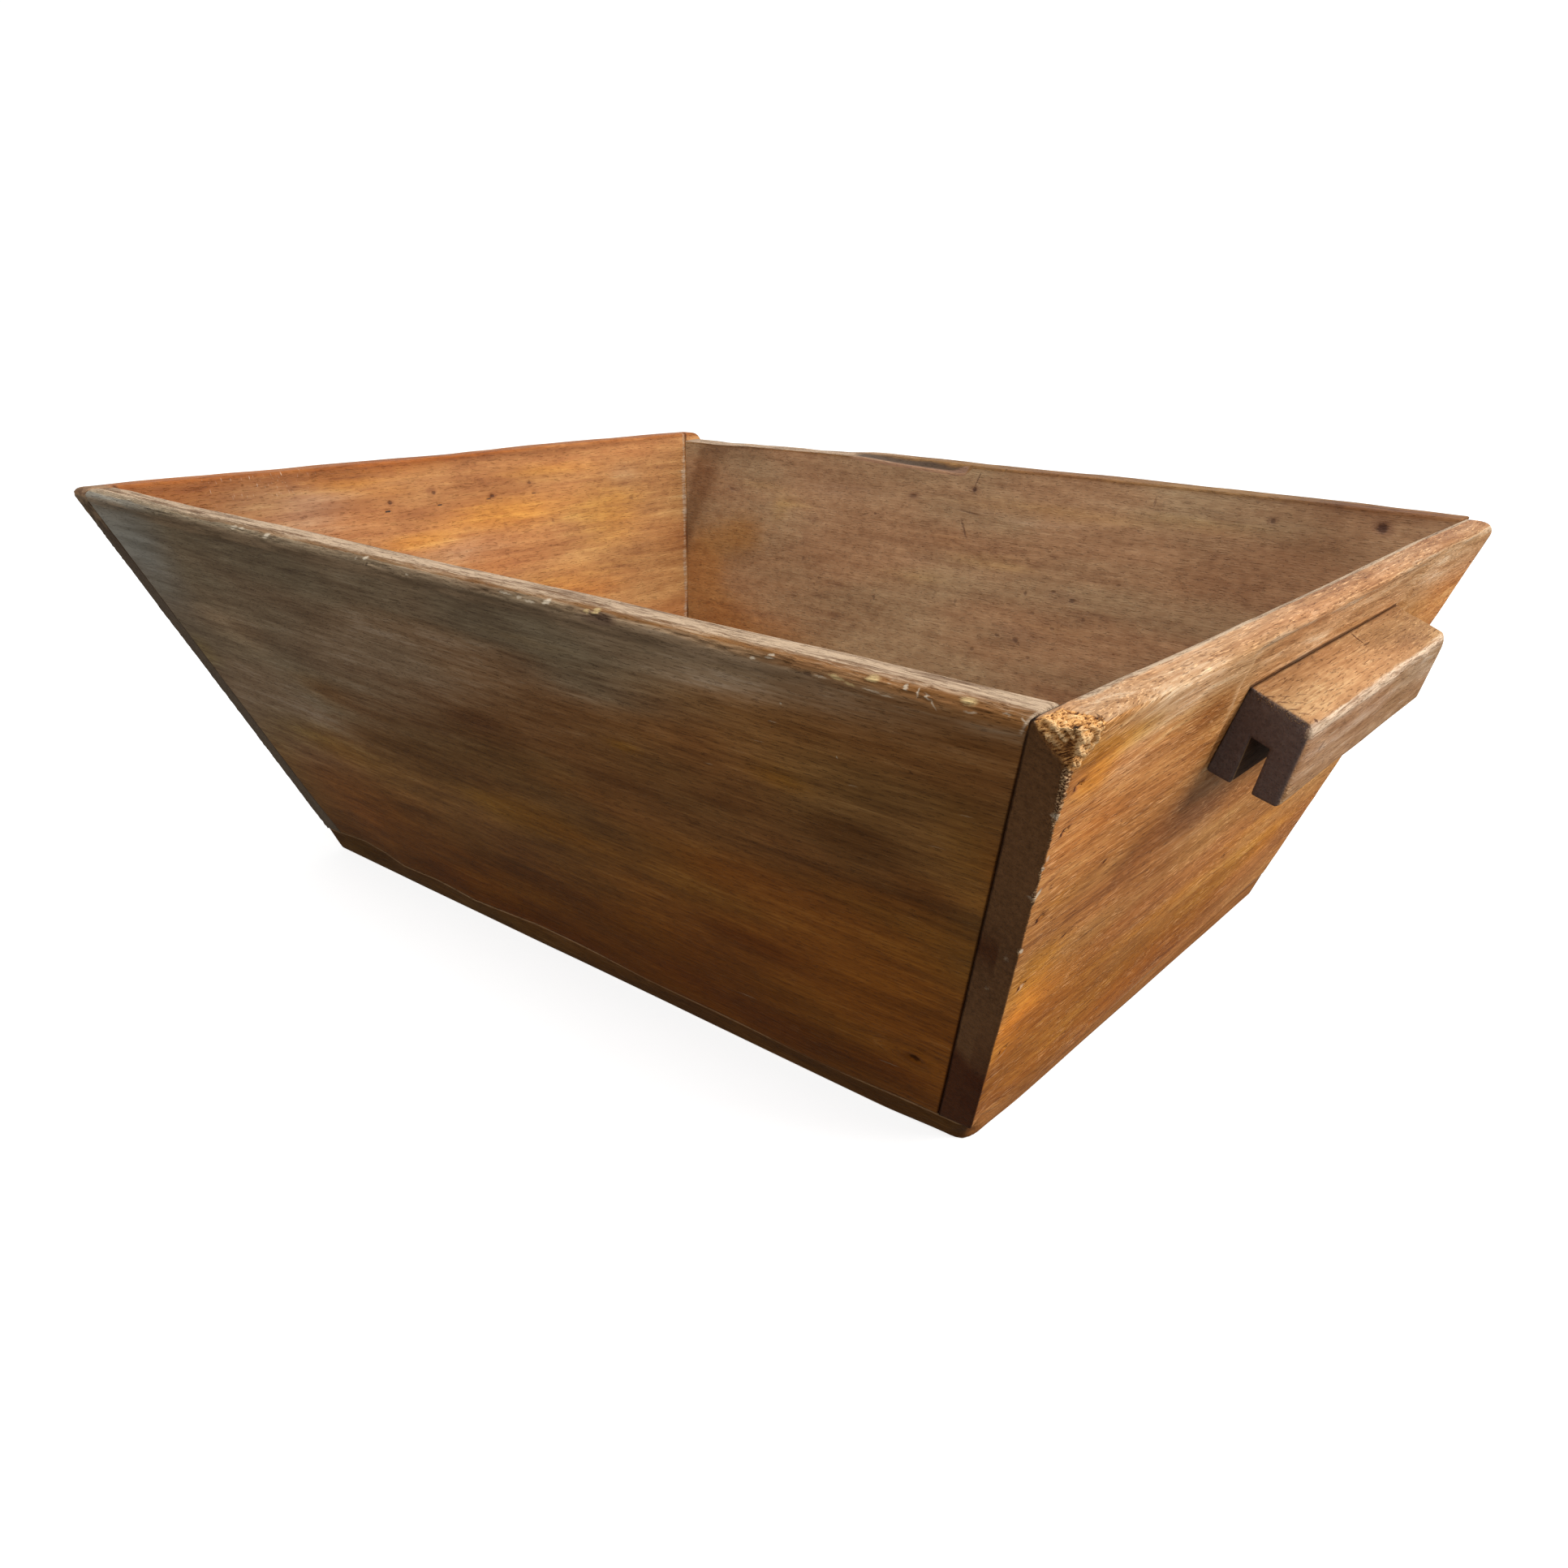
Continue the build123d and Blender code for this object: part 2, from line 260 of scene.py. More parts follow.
class Board:
    """A wall's lattice shell, with the worn arrises and the marks that its material reads.

    The block is (s, h, w): s from -1 to 1 along the board, h from 0 at the foot to 1 at the rim.
    Pairs of face distances are rounded one arris after another, then (s, h) become (u, d)."""

    def __init__(self, wall, step, fine_u=(), fine_d=(), through=1.35):
        self.wall = wall
        top_half = wall.half_length(HEIGHT)
        u_line = graded(-top_half, top_half, step, [(-top_half, 6, 1.2), (top_half, 6, 1.2), *fine_u])
        d_line = graded(0, wall.slope, step, [(0, 13, 1.1), (wall.slope, 4, 1.2), *fine_d])
        w_line = graded(0, wall.thickness, through, [(0, 1.5, 0.8), (wall.thickness, 1.5, 0.8)])
        block, self.faces = shell(u_line / top_half, 1 - d_line[::-1] / wall.slope, w_line)
        self.s, h, self.w = block.T
        self.top = (1 - h) * wall.slope
        self.flat = np.stack((self.s * top_half, self.top, self.w), 1)
        self.far = (1 - abs(self.s)) * self.half()
        self.marks = {}

    def half(self):
        """The board's half length at each point's height."""
        return self.wall.half_length(BOTTOM_THICKNESS + (1 - self.top / self.wall.slope)
                                     * (HEIGHT - BOTTOM_THICKNESS))

    def round_off(self, outer_rim=4, inner_rim=2, foot=0.5, upright=0.8, inner_upright=0.8, rim_corner=2,
                  foot_corner=0.8):
        """Rounds the arrises, each with its own radius, or one for every point."""
        wall, thick = self.wall, self.wall.thickness
        self.w, self.top = eased(self.w, self.top, outer_rim)
        inner, self.top = eased(thick - self.w, self.top, inner_rim)
        self.w, low = eased(thick - inner, wall.slope - self.top, foot)
        inner, low = eased(thick - self.w, low, foot)
        self.w, self.far = eased(thick - inner, self.far, upright)
        inner, self.far = eased(thick - self.w, self.far, inner_upright)
        self.top, self.far = eased(wall.slope - low, self.far, rim_corner)
        low, self.far = eased(wall.slope - self.top, self.far, foot_corner)
        self.w, self.top = thick - inner, wall.slope - low

    def settle(self):
        """From the block's distances to places in the wall, once every arris is rounded."""
        self.u = np.copysign(self.half() - self.far, self.s)
        self.d = self.top + self.w * math.tan(self.wall.splay)

    def sink(self, depth, face="outside"):
        """Presses a face in by a depth at each point, fading out through the board."""
        if face == "outside":
            self.w = self.w + depth * np.clip(1 - self.w / SKIN_DEPTH, 0, 1)
        else:
            self.w = self.w - depth * np.clip(1 - (self.wall.thickness - self.w) / SKIN_DEPTH, 0, 1)

    def drop_rim(self, depth, over=40):
        """Lowers the rim by a depth at each point, and draws the faces under it down with it."""
        self.d = self.d + depth * np.clip(1 - self.top / over, 0, 1)

    def mark(self, name, value):
        """Raises a mark to this value wherever it is lower."""
        self.marks[name] = np.maximum(self.marks.get(name, 0), value)

    def skin(self):
        """The points in the box's frame, with the foot following the strayed seam, and the faces."""
        placed = self.wall.place(self.u, self.d, self.w)
        near_foot = smooth(60, 0, placed[:, 2] - BOTTOM_THICKNESS)
        placed[:, 2] += seam_lift(placed) * near_foot
        return placed, facing_out(placed, self.faces)


def slot_at(u, d, middle, length, width):
    """1 inside an oval round a middle and 0 outside, with a steep slope on the distance from the middle
    in half sizes."""
    reach = np.hypot((u - middle[0]) / (length / 2), (d - middle[1]) / (width / 2))
    return 1 - smooth(0.75, 1.2, reach)


def corner_nail_places(wall):
    """Down each upright joint: in the middle of the side board's end, at the drops as driven."""
    drops = np.array(CORNER_NAIL_DROPS)
    edge = side_reach(HEIGHT - drops * math.cos(wall.splay)) - SIDE_LEVEL / 2
    return [(side * u, d) for side in (-1, 1) for u, d in zip(edge, drops)]


def grip_nail_places(end):
    """A row inside the end board, behind the grip's solid wood."""
    return [(GRIP_SHIFTS[end] + k * GRIP_NAIL_SPACING, GRIP_NAIL_DROP) for k in (-1.5, -0.5, 0.5, 1.5)]


def common_wear(board, seed):
    """What every board has: slow waves in both faces, a rim that dips and rises, and small dents."""
    flat = board.flat
    board.sink(0.5 * noise(flat, 90, seed) + 0.12 * rough(flat, (60, 14, 14), seed + 1), "outside")
    board.sink(0.5 * noise(flat, 90, seed + 2) + 0.12 * rough(flat, (60, 14, 14), seed + 3), "inside")
    board.drop_rim(0.9 + 0.9 * noise(flat * (1, 0, 0), 130, seed + 4)
                   + 0.35 * noise(flat, (24, 24, 9), seed + 5))
    thick, sides = board.wall.thickness, board.wall in (FRONT, BACK)
    board.mark("inner", smooth(thick - 2.5, thick - 0.5, board.w) * smooth(1.5, 4, board.top))
    board.mark("grime", 0.4 * (1 - smooth(0.2, 1.6, board.wall.slope - board.top)))
    board.mark("grime", 0.6 * sides * (1 - smooth(0.2, 1.3, board.far)) * smooth(4, 12, board.top))


def patches(u, d, places):
    """Soft stains, added up: each (u, d, reach along, reach down, strength) is a bell."""
    return sum(k * hill(u, pu, ru) * hill(d, pd, rd) for pu, pd, ru, rd, k in places)


def nail_slots(board, places, face):
    """A punched slot over every nail's head, deep enough to show it."""
    for middle in places:
        cut = slot_at(board.u, board.d, middle, NAIL_SLOT_LENGTH, NAIL_SLOT_WIDTH)
        depth = board.w if face == "outside" else board.wall.thickness - board.w
        board.sink(NAIL_SLOT_DEPTH * cut * (depth < FACE_REACH), face)


def ragged_arris(board, points, faces, where, height, seed):
    """Torn fibres: the skin goes in and out along its normal, in ridges that run along the grain."""
    fibres = (abs(noise(board.flat, (9, 1.6, 2.2), seed)) - 0.4
              + 0.5 * noise(board.flat, (4, 1.2, 1.2), seed + 1))
    return points + outward_normals(points, faces) * (where * height * fibres)[:, None]


def tint_faces(board, on_outside, seed, **places):
    """Soft coloured patches: on one face the given ones, on the other face scattered ones of each kind, the
    bluish painted-sheen ones faint."""
    outside = board.w < board.wall.thickness / 2
    draw, half = np.random.default_rng(seed), board.wall.half_length(HEIGHT)
    for kind in TINTS:
        count = 3 if kind in ("cool", "faded") else 8
        scattered = np.stack((draw.uniform(-half, half, count), draw.uniform(10, 285, count),
                              draw.uniform(25, 75, count), draw.uniform(6, 20, count),
                              draw.uniform(0.35, 0.85, count)), 1)
        faint = 0.2 if kind == "cool" else 1
        board.marks[kind] = np.where(outside == on_outside, patches(board.u, board.d, places[kind]),
                                     patches(board.u, board.d, scattered) * faint)


def lump(spots, middle, reach):
    """A bell in all three directions round a middle: e to the minus squared distance in reaches."""
    return np.exp(-(((spots - middle) / reach) ** 2).sum(1))


def gnarled_corner(board, points, faces):
    """The knot on the near top corner, in far, top and w from the corner: two low lumps, a hole between
    them, a crest and a crack round the second, slanting fibres on the end grain, and small lumps."""
    far = board.flat[:, 0] + board.wall.half_length(HEIGHT)
    top, w = board.flat[:, 1], board.flat[:, 2]
    spots = np.stack((far, top, w), 1)
    first, second, hole = (4, 2, 12), (6, 8.5, 1), (7, 1.5, 5.5)
    measure = np.maximum(np.sqrt((1.12 * far) ** 2 + top**2 + (0.75 * w) ** 2), top + 1.35 * w)
    ball = smooth(25, 20, measure + 2.6 * noise(spots, 6, 21))
    ring = np.sqrt(((spots - second) ** 2).sum(1)) + 1.5 * noise(spots, 5, 27)
    slant = np.stack((0.76 * top - 0.65 * w, 0.65 * top + 0.76 * w, far), 1)
    fibres = np.maximum(noise(slant, (8, 1.5, 2.2), 24), -0.45) * smooth(14, 5, far)
    small = 0.7 * noise(spots, 2.6, 25) + 0.8 * noise(spots, 1.5, 28)
    height = (1.3 * lump(spots, first, (6, 6, 6)) + 1.6 * lump(spots, second, (5, 5, 5))
              - 5.2 * lump(spots, hole, (2.4, 4.5, 2.4)) - 1.3 * hill(ring, 6.4, 0.8) * (ring > 4.6)
              + 1.3 * hill(ring, 8.8, 1.4) * smooth(7, 11, far) * (0.6 + 0.6 * noise(spots, 2.4, 29))
              + 2.6 * fibres + 0.8 * (0.6 - abs(noise(spots, 3.4, 22))) + 0.4 * noise(spots, 5.0, 23)
              + small - 1.0)
    height = np.maximum(height, -1.4 - 4 * lump(spots, hole, (2.8, 4.4, 2.8)))
    height = height * smooth(18.5, 14.5, w) - 0.9 * smooth(15.5, 19, w)
    board.mark("gnarl", ball)
    # painted shade in the knot's hollows, with the dark seam by the side board; painted highlight on its
    # raised lumps
    board.mark("cleft", ball * smooth(-1.5, -2.9, height))
    board.mark("cleft", smooth(16.9, 18.2, w) * smooth(25, 22, far))
    board.mark("lump", ball * smooth(-2.2, 1.4, height) * (0.4 + 0.6 * smooth(17, 7, w)))
    return ball, points + outward_normals(points, faces) * (ball * height)[:, None]


# Down the splintered arris: how torn it is at each drop from the rim.
TORN_DROPS = (18, 38, 43, 47, 53, 73, 78, 83, 90, 95, 100, 129, 133, 137, 280)
TORN_SHARES = (1, 0.8, 0.5, 0.9, 0.3, 0.2, 0.7, 0.2, 0.3, 1, 0.2, 0.1, 0.7, 0.1, 0)


def right_end():
    """The near end board: a deep worn round-over along its rim, a gnarled knot on the near top corner,
    splinters down the arris below it, and the flat pared for the grip."""
    fine_d = [(d, 2.2, 1.1) for d in CORNER_NAIL_DROPS] + [(GRIP_NAIL_DROP, 2.2, 1.2), (8, 18, 0.85)]
    fine_u = [(-294, 14, 0.85)] + [(u, 3.2, 1.3) for u, _ in grip_nail_places(1)]
    board = Board(RIGHT, step=3.6, fine_u=fine_u, fine_d=fine_d, through=1.1)
    line, flat_top, flat_w = board.flat.T
    worn = np.interp(line, (-289, -252, -211, -175, -146, -76, -6, 50, 113, 192, 281),
                     (6, 7, 9.5, 9.8, 8.2, 9, 12.4, 9.9, 6.2, 6.3, 9))
    worn = worn + 0.5 * noise(board.flat, (14, 50, 50), 11)
    near, far_end = smooth(-240, -290, line), smooth(230, 285, line)
    board.round_off(outer_rim=worn + 4 * far_end, inner_rim=2.4,
                    upright=0.9 + near * np.interp(flat_top, (0, 8, 25, 60), (8, 6, 1.4, 0.4)),
                    rim_corner=2.0 + 3 * near + 18 * far_end)
    board.settle()
    common_wear(board, 100)
    u, d, on_face = board.u, board.d, board.w < FACE_REACH
    # the pared flat: a level lower than the face, with a shoulder that leans in towards the foot
    left = np.interp(d, (9, 17, 28, 42, 58, 77), (-132, -130, -132, -126, -124, -120))
    pared = smooth(left - 3, left + 2, u) * smooth(140, 135, u) * smooth(6, 12, d) * smooth(90, 84, d)
    board.sink(PARED_DEPTH * pared)
    # painted highlight on the pared flat's sloping edge, which faces the light
    board.mark("shoulder", hill(u, left - 3.5, 2.4) * smooth(6, 12, d) * smooth(60, 40, d) * (board.w < 4))
    nail_slots(board, corner_nail_places(RIGHT), "outside")
    nail_slots(board, grip_nail_places(1), "inside")
    for middle, length, width in (((-77.5, 281), 9, 2), ((-32.5, 278), 6, 2), ((30, 200), 4, 2)):
        board.sink(0.9 * slot_at(u, d, middle, length, width) * on_face)
    top_face = flat_top < 3
    seat = abs(u - GRIP_SHIFTS[1]) < GRIP_LENGTH / 2 + 1
    board.mark("grime", 0.9 * seat * hill(d, GRIP_DROP - 0.5, 1.3) * on_face)
    points, faces = board.skin()
    ball, points = gnarled_corner(board, points, faces)
    reach = np.interp(board.top, (20, 45, 65, 280), (5.2, 4, 2.6, 1.8))
    torn = smooth(1, 0.25, board.far / reach) * smooth(0.7, 0.2, board.w / reach) * (board.s < 0) * (1 - ball)
    torn *= np.interp(board.top, TORN_DROPS, TORN_SHARES)
    points = ragged_arris(board, points, faces, torn, height=2.4, seed=26)
    tint_faces(board, on_outside=True, seed=110,
        stain=((-83, 121, 34, 11, 0.8), (-105, 150, 40, 11, 0.55), (-165, 34, 34, 16, 0.8),
            (-95, 232, 60, 9, 0.5), (-60, 264, 190, 28, 1.0), (-60, 235, 200, 40, 0.45),
            (-190, 270, 50, 8, 0.5), (40, 160, 60, 12, 0.3), (-135, 105, 40, 20, 0.85),
            (-170, 125, 30, 14, 0.5), (-20, 225, 90, 5, 0.6), (-230, 245, 30, 8, 0.6),
            (-165, 225, 40, 40, 0.4), (-130, 178, 60, 20, 0.5), (-125, 240, 60, 24, 0.75),
            (105, 95, 100, 24, 0.6)),
        faded=((100, 248, 70, 16, 0.3), (-265, 30, 30, 16, 0.35), (-215, 120, 40, 16, 0.2),
            (-222, 190, 20, 34, 0.4)),
        gold=((-165, 225, 40, 50, 0.8), (-226, 160, 26, 20, 0.9), (-214, 205, 24, 24, 1.0),
            (-205, 240, 20, 12, 0.7), (110, 222, 90, 15, 0.8), (-60, 250, 170, 34, 0.9),
            (-60, 205, 80, 8, 0.6), (-262, 20, 40, 7, 0.9), (-40, 262, 60, 9, 0.5),
            (-235, 110, 24, 10, 0.5), (60, 190, 80, 8, 0.5), (180, 140, 50, 14, 0.5),
            (-268, 34, 16, 12, 0.8)),
        # painted light: bluish painted sheen, and the patch at (-90, 105) is the colour of the grip's painted
        # shadow
        cool=((-60, 130, 34, 9, 0.13), (60, 20, 70, 5, 0.099), (-65, 42, 60, 22, 0.2),
            (-90, 105, 60, 40, 0.35), (100, 248, 70, 16, 0.2)),
        red=((-200, 32, 60, 8, 0.8), (-240, 70, 40, 16, 0.5), (-140, 180, 60, 10, 0.4),
            (-165, 30, 40, 16, 0.5), (-190, 100, 60, 14, 0.4), (-215, 190, 40, 40, 0.6),
            (-60, 250, 160, 30, 0.4), (120, 180, 80, 20, 0.4)))
    # painted bluish sheen on the upper near part of the face and on the rim top
    board.mark("cool", 0.5 * smooth(62, 20, d) * smooth(-300, -220, u) * on_face)
    board.mark("cool", 0.5 * top_face)
    streaks = (hill(line, -165, 60) * hill(flat_w, 4.5, 1.1)
               + 0.7 * hill(line, 40, 90) * hill(flat_w, 8.5, 1.0))
    board.mark("stain", np.clip(streaks + 0.5, 0, 1) * top_face)
    board.mark("stain", (0.6 + 0.4 * smooth(60, 150, line)) * top_face * smooth(-70, 0, line))
    board.mark("bare", 0.8 * smooth(12.5, 17, flat_w) * (1 - smooth(0.4, 2.0, board.top))
               * smooth(-283, -268, line) * (1 - ball))
    board.mark("bare", 0.44 * hill(board.top, worn - 1.5, 3.2) * on_face * smooth(-180, -120, u) * (1 - ball))
    strip = smooth(1.5, 0.6, board.far)
    board.mark("bare", strip * (0.5 * hill(board.top, 141, 5) * hill(board.w, 5, 2)
                                + 0.4 * hill(board.top, 165, 3) * hill(board.w, 10, 2)))
    board.mark("end_grain", strip * (1 - ball))
    seam = smooth(17.4, 18.6, flat_w) * smooth(24, 21, line + RIGHT.half_length(HEIGHT)) * (board.s < 0)
    board.mark("grime", 0.9 * seam)
    board.mark("stain", 0.9 * strip * smooth(232, 246, board.top + board.w))
    board.mark("torn", torn)
    board.mark("bend", 1 - 0.28 * np.exp(-((u + 306) ** 2 + d**2) / 55**2))
    return points, faces, board.marks


def left_end():
    """The far end board, seen from inside: both its top corners are worn round."""
    fine_d = [(d, 2.2, 1.2) for d in CORNER_NAIL_DROPS] + [(GRIP_NAIL_DROP, 2.2, 1.2)]
    fine_u = [(u, 3.2, 1.3) for u, _ in grip_nail_places(-1)]
    board = Board(LEFT, step=3.3, fine_u=fine_u, fine_d=fine_d)
    line = board.flat[:, 0]
    back, front = smooth(250, 290, line), smooth(-250, -290, line)
    board.round_off(outer_rim=6 + 1.5 * noise(board.flat, (60, 90, 90), 31), inner_rim=2,
                    upright=1 + 1.5 * front, rim_corner=3 + 12 * back + 7 * front)
    board.settle()
    common_wear(board, 200)
    u, d = board.u, board.d
    pared = smooth(-133, -128, u) * smooth(127, 122, u) * smooth(4, 12, d) * smooth(90, 84, d)
    board.sink(PARED_DEPTH * pared)
    nail_slots(board, corner_nail_places(LEFT), "outside")
    nail_slots(board, grip_nail_places(-1), "inside")
    seat = (abs(u - GRIP_SHIFTS[-1]) < GRIP_LENGTH / 2 + 1) * (board.w < FACE_REACH)
    board.mark("grime", 0.8 * seat * hill(d, GRIP_DROP - 0.5, 1.3))
    points, faces = board.skin()
    torn = smooth(5, 1.5, board.far) * smooth(3.5, 1, board.w) * 0.35
    points = ragged_arris(board, points, faces, torn, height=1.5, seed=34)
    board.mark("torn", torn)
    tint_faces(board, on_outside=False, seed=210,
        stain=((-240, 25, 80, 34, 0.8), (-100, 7, 150, 9, 0.8), (90, 5, 150, 7, 0.6),
            (-120, 42, 40, 7, 0.5), (90, 104, 60, 9, 0.45), (200, 10, 60, 5, 0.6), (150, 130, 40, 10, 0.4),
            (-20, 95, 60, 6, 0.4), (-60, 60, 30, 12, 0.4), (110, 12, 60, 7, 0.6), (-165, 46, 60, 40, 0.3),
            (30, 42, 90, 22, 0.65), (-121, 76, 34, 12, 0.3)),
        faded=((176, 95, 50, 30, 0.35),),
        gold=((150, 80, 50, 34, 0.6), (30, 66, 70, 16, 0.8), (-110, 24, 40, 8, 0.6), (90, 30, 60, 8, 0.5),
            (60, 140, 90, 20, 0.5), (-60, 80, 40, 8, 0.8), (190, 50, 30, 20, 0.3)),
        red=((-225, 24, 80, 40, 1.2), (-110, 10, 110, 14, 0.9), (0, 8, 90, 5, 0.6), (-70, 36, 30, 8, 0.4),
            (100, 150, 60, 10, 0.5), (0, 110, 60, 10, 0.4)),
        # painted bluish sheen on the inner face
        cool=((-165, 46, 60, 40, 0.35), (-180, 30, 60, 18, 0.35), (-20, 92, 70, 26, 0.25),
            (185, 47, 30, 18, 0.35)))
    inside = board.w > LEFT.thickness - FACE_REACH
    board.mark("stain", 0.9 * (board.top < 4))
    board.mark("weathered", smooth(-276, -292, u) * smooth(40, 10, board.top))
    board.mark("bare", 0.15 * (1 - smooth(0.4, 2.0, board.top)) * smooth(4, 8, board.w))
    # painted light: a pale band beside the corner seam, where this strip of the inner face stands unshadowed
    board.mark("bare", 0.5 * smooth(23, 24.5, board.far) * smooth(30, 28, board.far) * (board.s > 0) * inside)
    board.mark("grime", 0.8 * hill(board.far, 23.4, 0.9) * inside)
    board.mark("end_grain", smooth(1.5, 0.6, board.far))
    board.mark("scratch", inside * smooth(-235, -205, u) * smooth(-120, -160, u) * smooth(40, 10, d))
    return points, faces, board.marks


def front_side():
    """The front board: its rim is worn to a broad round-over, pale on top and weathered lower down. A
    knot shows near its right foot."""
    knot_u, knot_d = FRONT_KNOT
    board = Board(FRONT, step=3.2, fine_u=[(knot_u, 6, 1.3)], fine_d=[(knot_d, 6, 1.3), (4, 12, 1.0)])
    line = board.flat[:, 0]
    worn = 8.2 + 1.4 * noise(board.flat, (60, 90, 90), 41) + 1.0 * smooth(220, 380, line)
    board.round_off(outer_rim=worn, inner_rim=1.8, upright=1.3, inner_upright=1.0,
                    rim_corner=1.5 + 3.5 * smooth(360, 380, line))
    board.settle()
    over = board.w - board.top
    common_wear(board, 300)
    u, d = board.u, board.d
    outside = board.w < 4
    board.mark("grime", 0.95 * smooth(1.4, 0.3, board.far) * (line > 0))
    away = np.hypot((u - knot_u) / 1.5, d - knot_d)
    board.sink((1.1 * hill(away, 0, 2.2) - 0.5 * hill(away, 4.6, 1.8)) * outside)
    points, faces = board.skin()
    chips = hill(over, -1, 7) * smooth(9, 3, board.w) * smooth(-0.1, 0.5, noise(board.flat, (26, 9, 9), 43))
    chips = np.maximum(chips, 0.5 * hill(over, 6, 8) * (board.top < 9))
    points = ragged_arris(board, points, faces, chips, height=1.3, seed=44)
    tint_faces(board, on_outside=True, seed=310,
        stain=((4, 102, 34, 8, 0.8), (125, 112, 55, 8, 0.65), (200, 100, 40, 7, 0.5),
            (283, 95, 34, 13, 1.0), (318, 118, 26, 13, 0.8), (100, 274, 70, 12, 0.9),
            (-75, 270, 80, 11, 0.9), (181, 205, 34, 7, 0.55), (232, 266, 50, 9, 1.0),
            (-143, 54, 60, 10, 0.5), (-235, 92, 40, 9, 0.5), (-130, 215, 60, 8, 0.6),
            # (0, 283, 400, 12, 0.8) is painted shade: it darkens the foot of the board over the floor
            (-20, 232, 60, 8, 0.5), (250, 40, 70, 10, 0.3), (0, 283, 400, 12, 0.8), (40, 250, 190, 24, 0.8),
            (190, 205, 60, 40, 0.35), (-65, 250, 50, 14, 0.3)),
        faded=((215, 50, 90, 40, 0.7), (-100, 190, 110, 30, 0.55), (327, 110, 40, 30, 0.5),
            (-266, 95, 50, 26, 0.6), (-245, 240, 50, 40, 0.8), (228, 120, 30, 16, 0.35),
            (-50, 60, 160, 50, 0.2)),
        gold=((100, 262, 240, 22, 0.5), (137, 84, 15, 4, 0.8), (9, 172, 70, 15, 0.9),
            (-214, 178, 70, 16, 0.7), (246, 71, 22, 8, 0.7), (103, 236, 30, 11, 0.6),
            (282, 212, 28, 14, 0.9), (-338, 125, 26, 16, 0.5), (140, 150, 60, 14, 0.3),
            (-90, 285, 90, 5, 0.5), (350, 75, 24, 40, 0.35), (-300, 210, 40, 30, 0.4)),
        # painted bluish reflection of the sky, strongest at the face's far left
        cool=((-350, 40, 90, 120, 1.2), (-265, 130, 80, 80, 0.45), (-215, 50, 80, 40, 0.6),
            (130, 48, 60, 12, 0.45), (-60, 20, 90, 10, 0.6), (-50, 70, 50, 12, 0.3), (0, 16, 300, 12, 0.6),
            (95, 22, 110, 13, 0.7), (-130, 70, 160, 60, 0.3)),
        red=((100, 240, 260, 50, 0.75), (0, 280, 420, 14, 0.9), (230, 200, 140, 80, 0.4),
            (200, 180, 120, 50, 0.4), (-200, 250, 90, 40, 0.6), (-171, 122, 45, 13, 0.6),
            (84, 30, 55, 8, 0.3), (0, 66, 50, 9, 0.3), (300, 135, 50, 16, 0.6), (362, 110, 12, 60, 0.6),
            (240, 160, 70, 20, 0.6), (60, 130, 50, 12, 0.4), (330, 235, 30, 20, 0.5),
            (250, 240, 60, 14, 0.5)))
    slant = d + 0.33 * u
    # painted shade: darker along the front board's foot
    board.mark("grime", 0.38 * hill(d, 280, 14) * hill(u, 0, 220) * outside)
    # painted bluish sheen, fading from the upper left of the face
    board.marks["cool"] += 0.42 * smooth(185, 15, slant) * outside
    board.marks["gold"] += 0.65 * smooth(150, 300, slant) * outside
    board.mark("bare", np.interp(over, (-6, 0, 5, 9, 22), (0, 0.14, 0.33, 0.54, 0.88)) * (board.top < 9))
    board.mark("bare", 0.7 * hill(board.far, 2.6, 1.2) * (line > 0) * smooth(11, 6, board.top))
    fade = 0.2 + 0.8 * smooth(345, 200, line)
    weathered = hill(over, -8, 6) * fade * (0.8 + 0.4 * noise(board.flat, 70, 45)) * (board.top < 24)
    # painted reflection: grey over the far top corner, in place of the weathered skin there
    board.mark("slate", smooth(-262, -335, u + 0.25 * d) * hill(d, 38, 46) * outside)
    board.mark("weathered", weathered * (1 - 0.7 * board.marks["slate"]))
    around = np.exp(-(((u - knot_u) / 22) ** 2) - ((d - knot_d) / 9) ** 2)
    board.mark("bend", 0.5 - 0.16 * around * np.tanh((d - knot_d) / 2.5) - 0.06 * smooth(-100, 380, u))
    board.mark("end_grain", smooth(1.0, 0.3, board.far) * (board.w > 2))
    return points, faces, board.marks


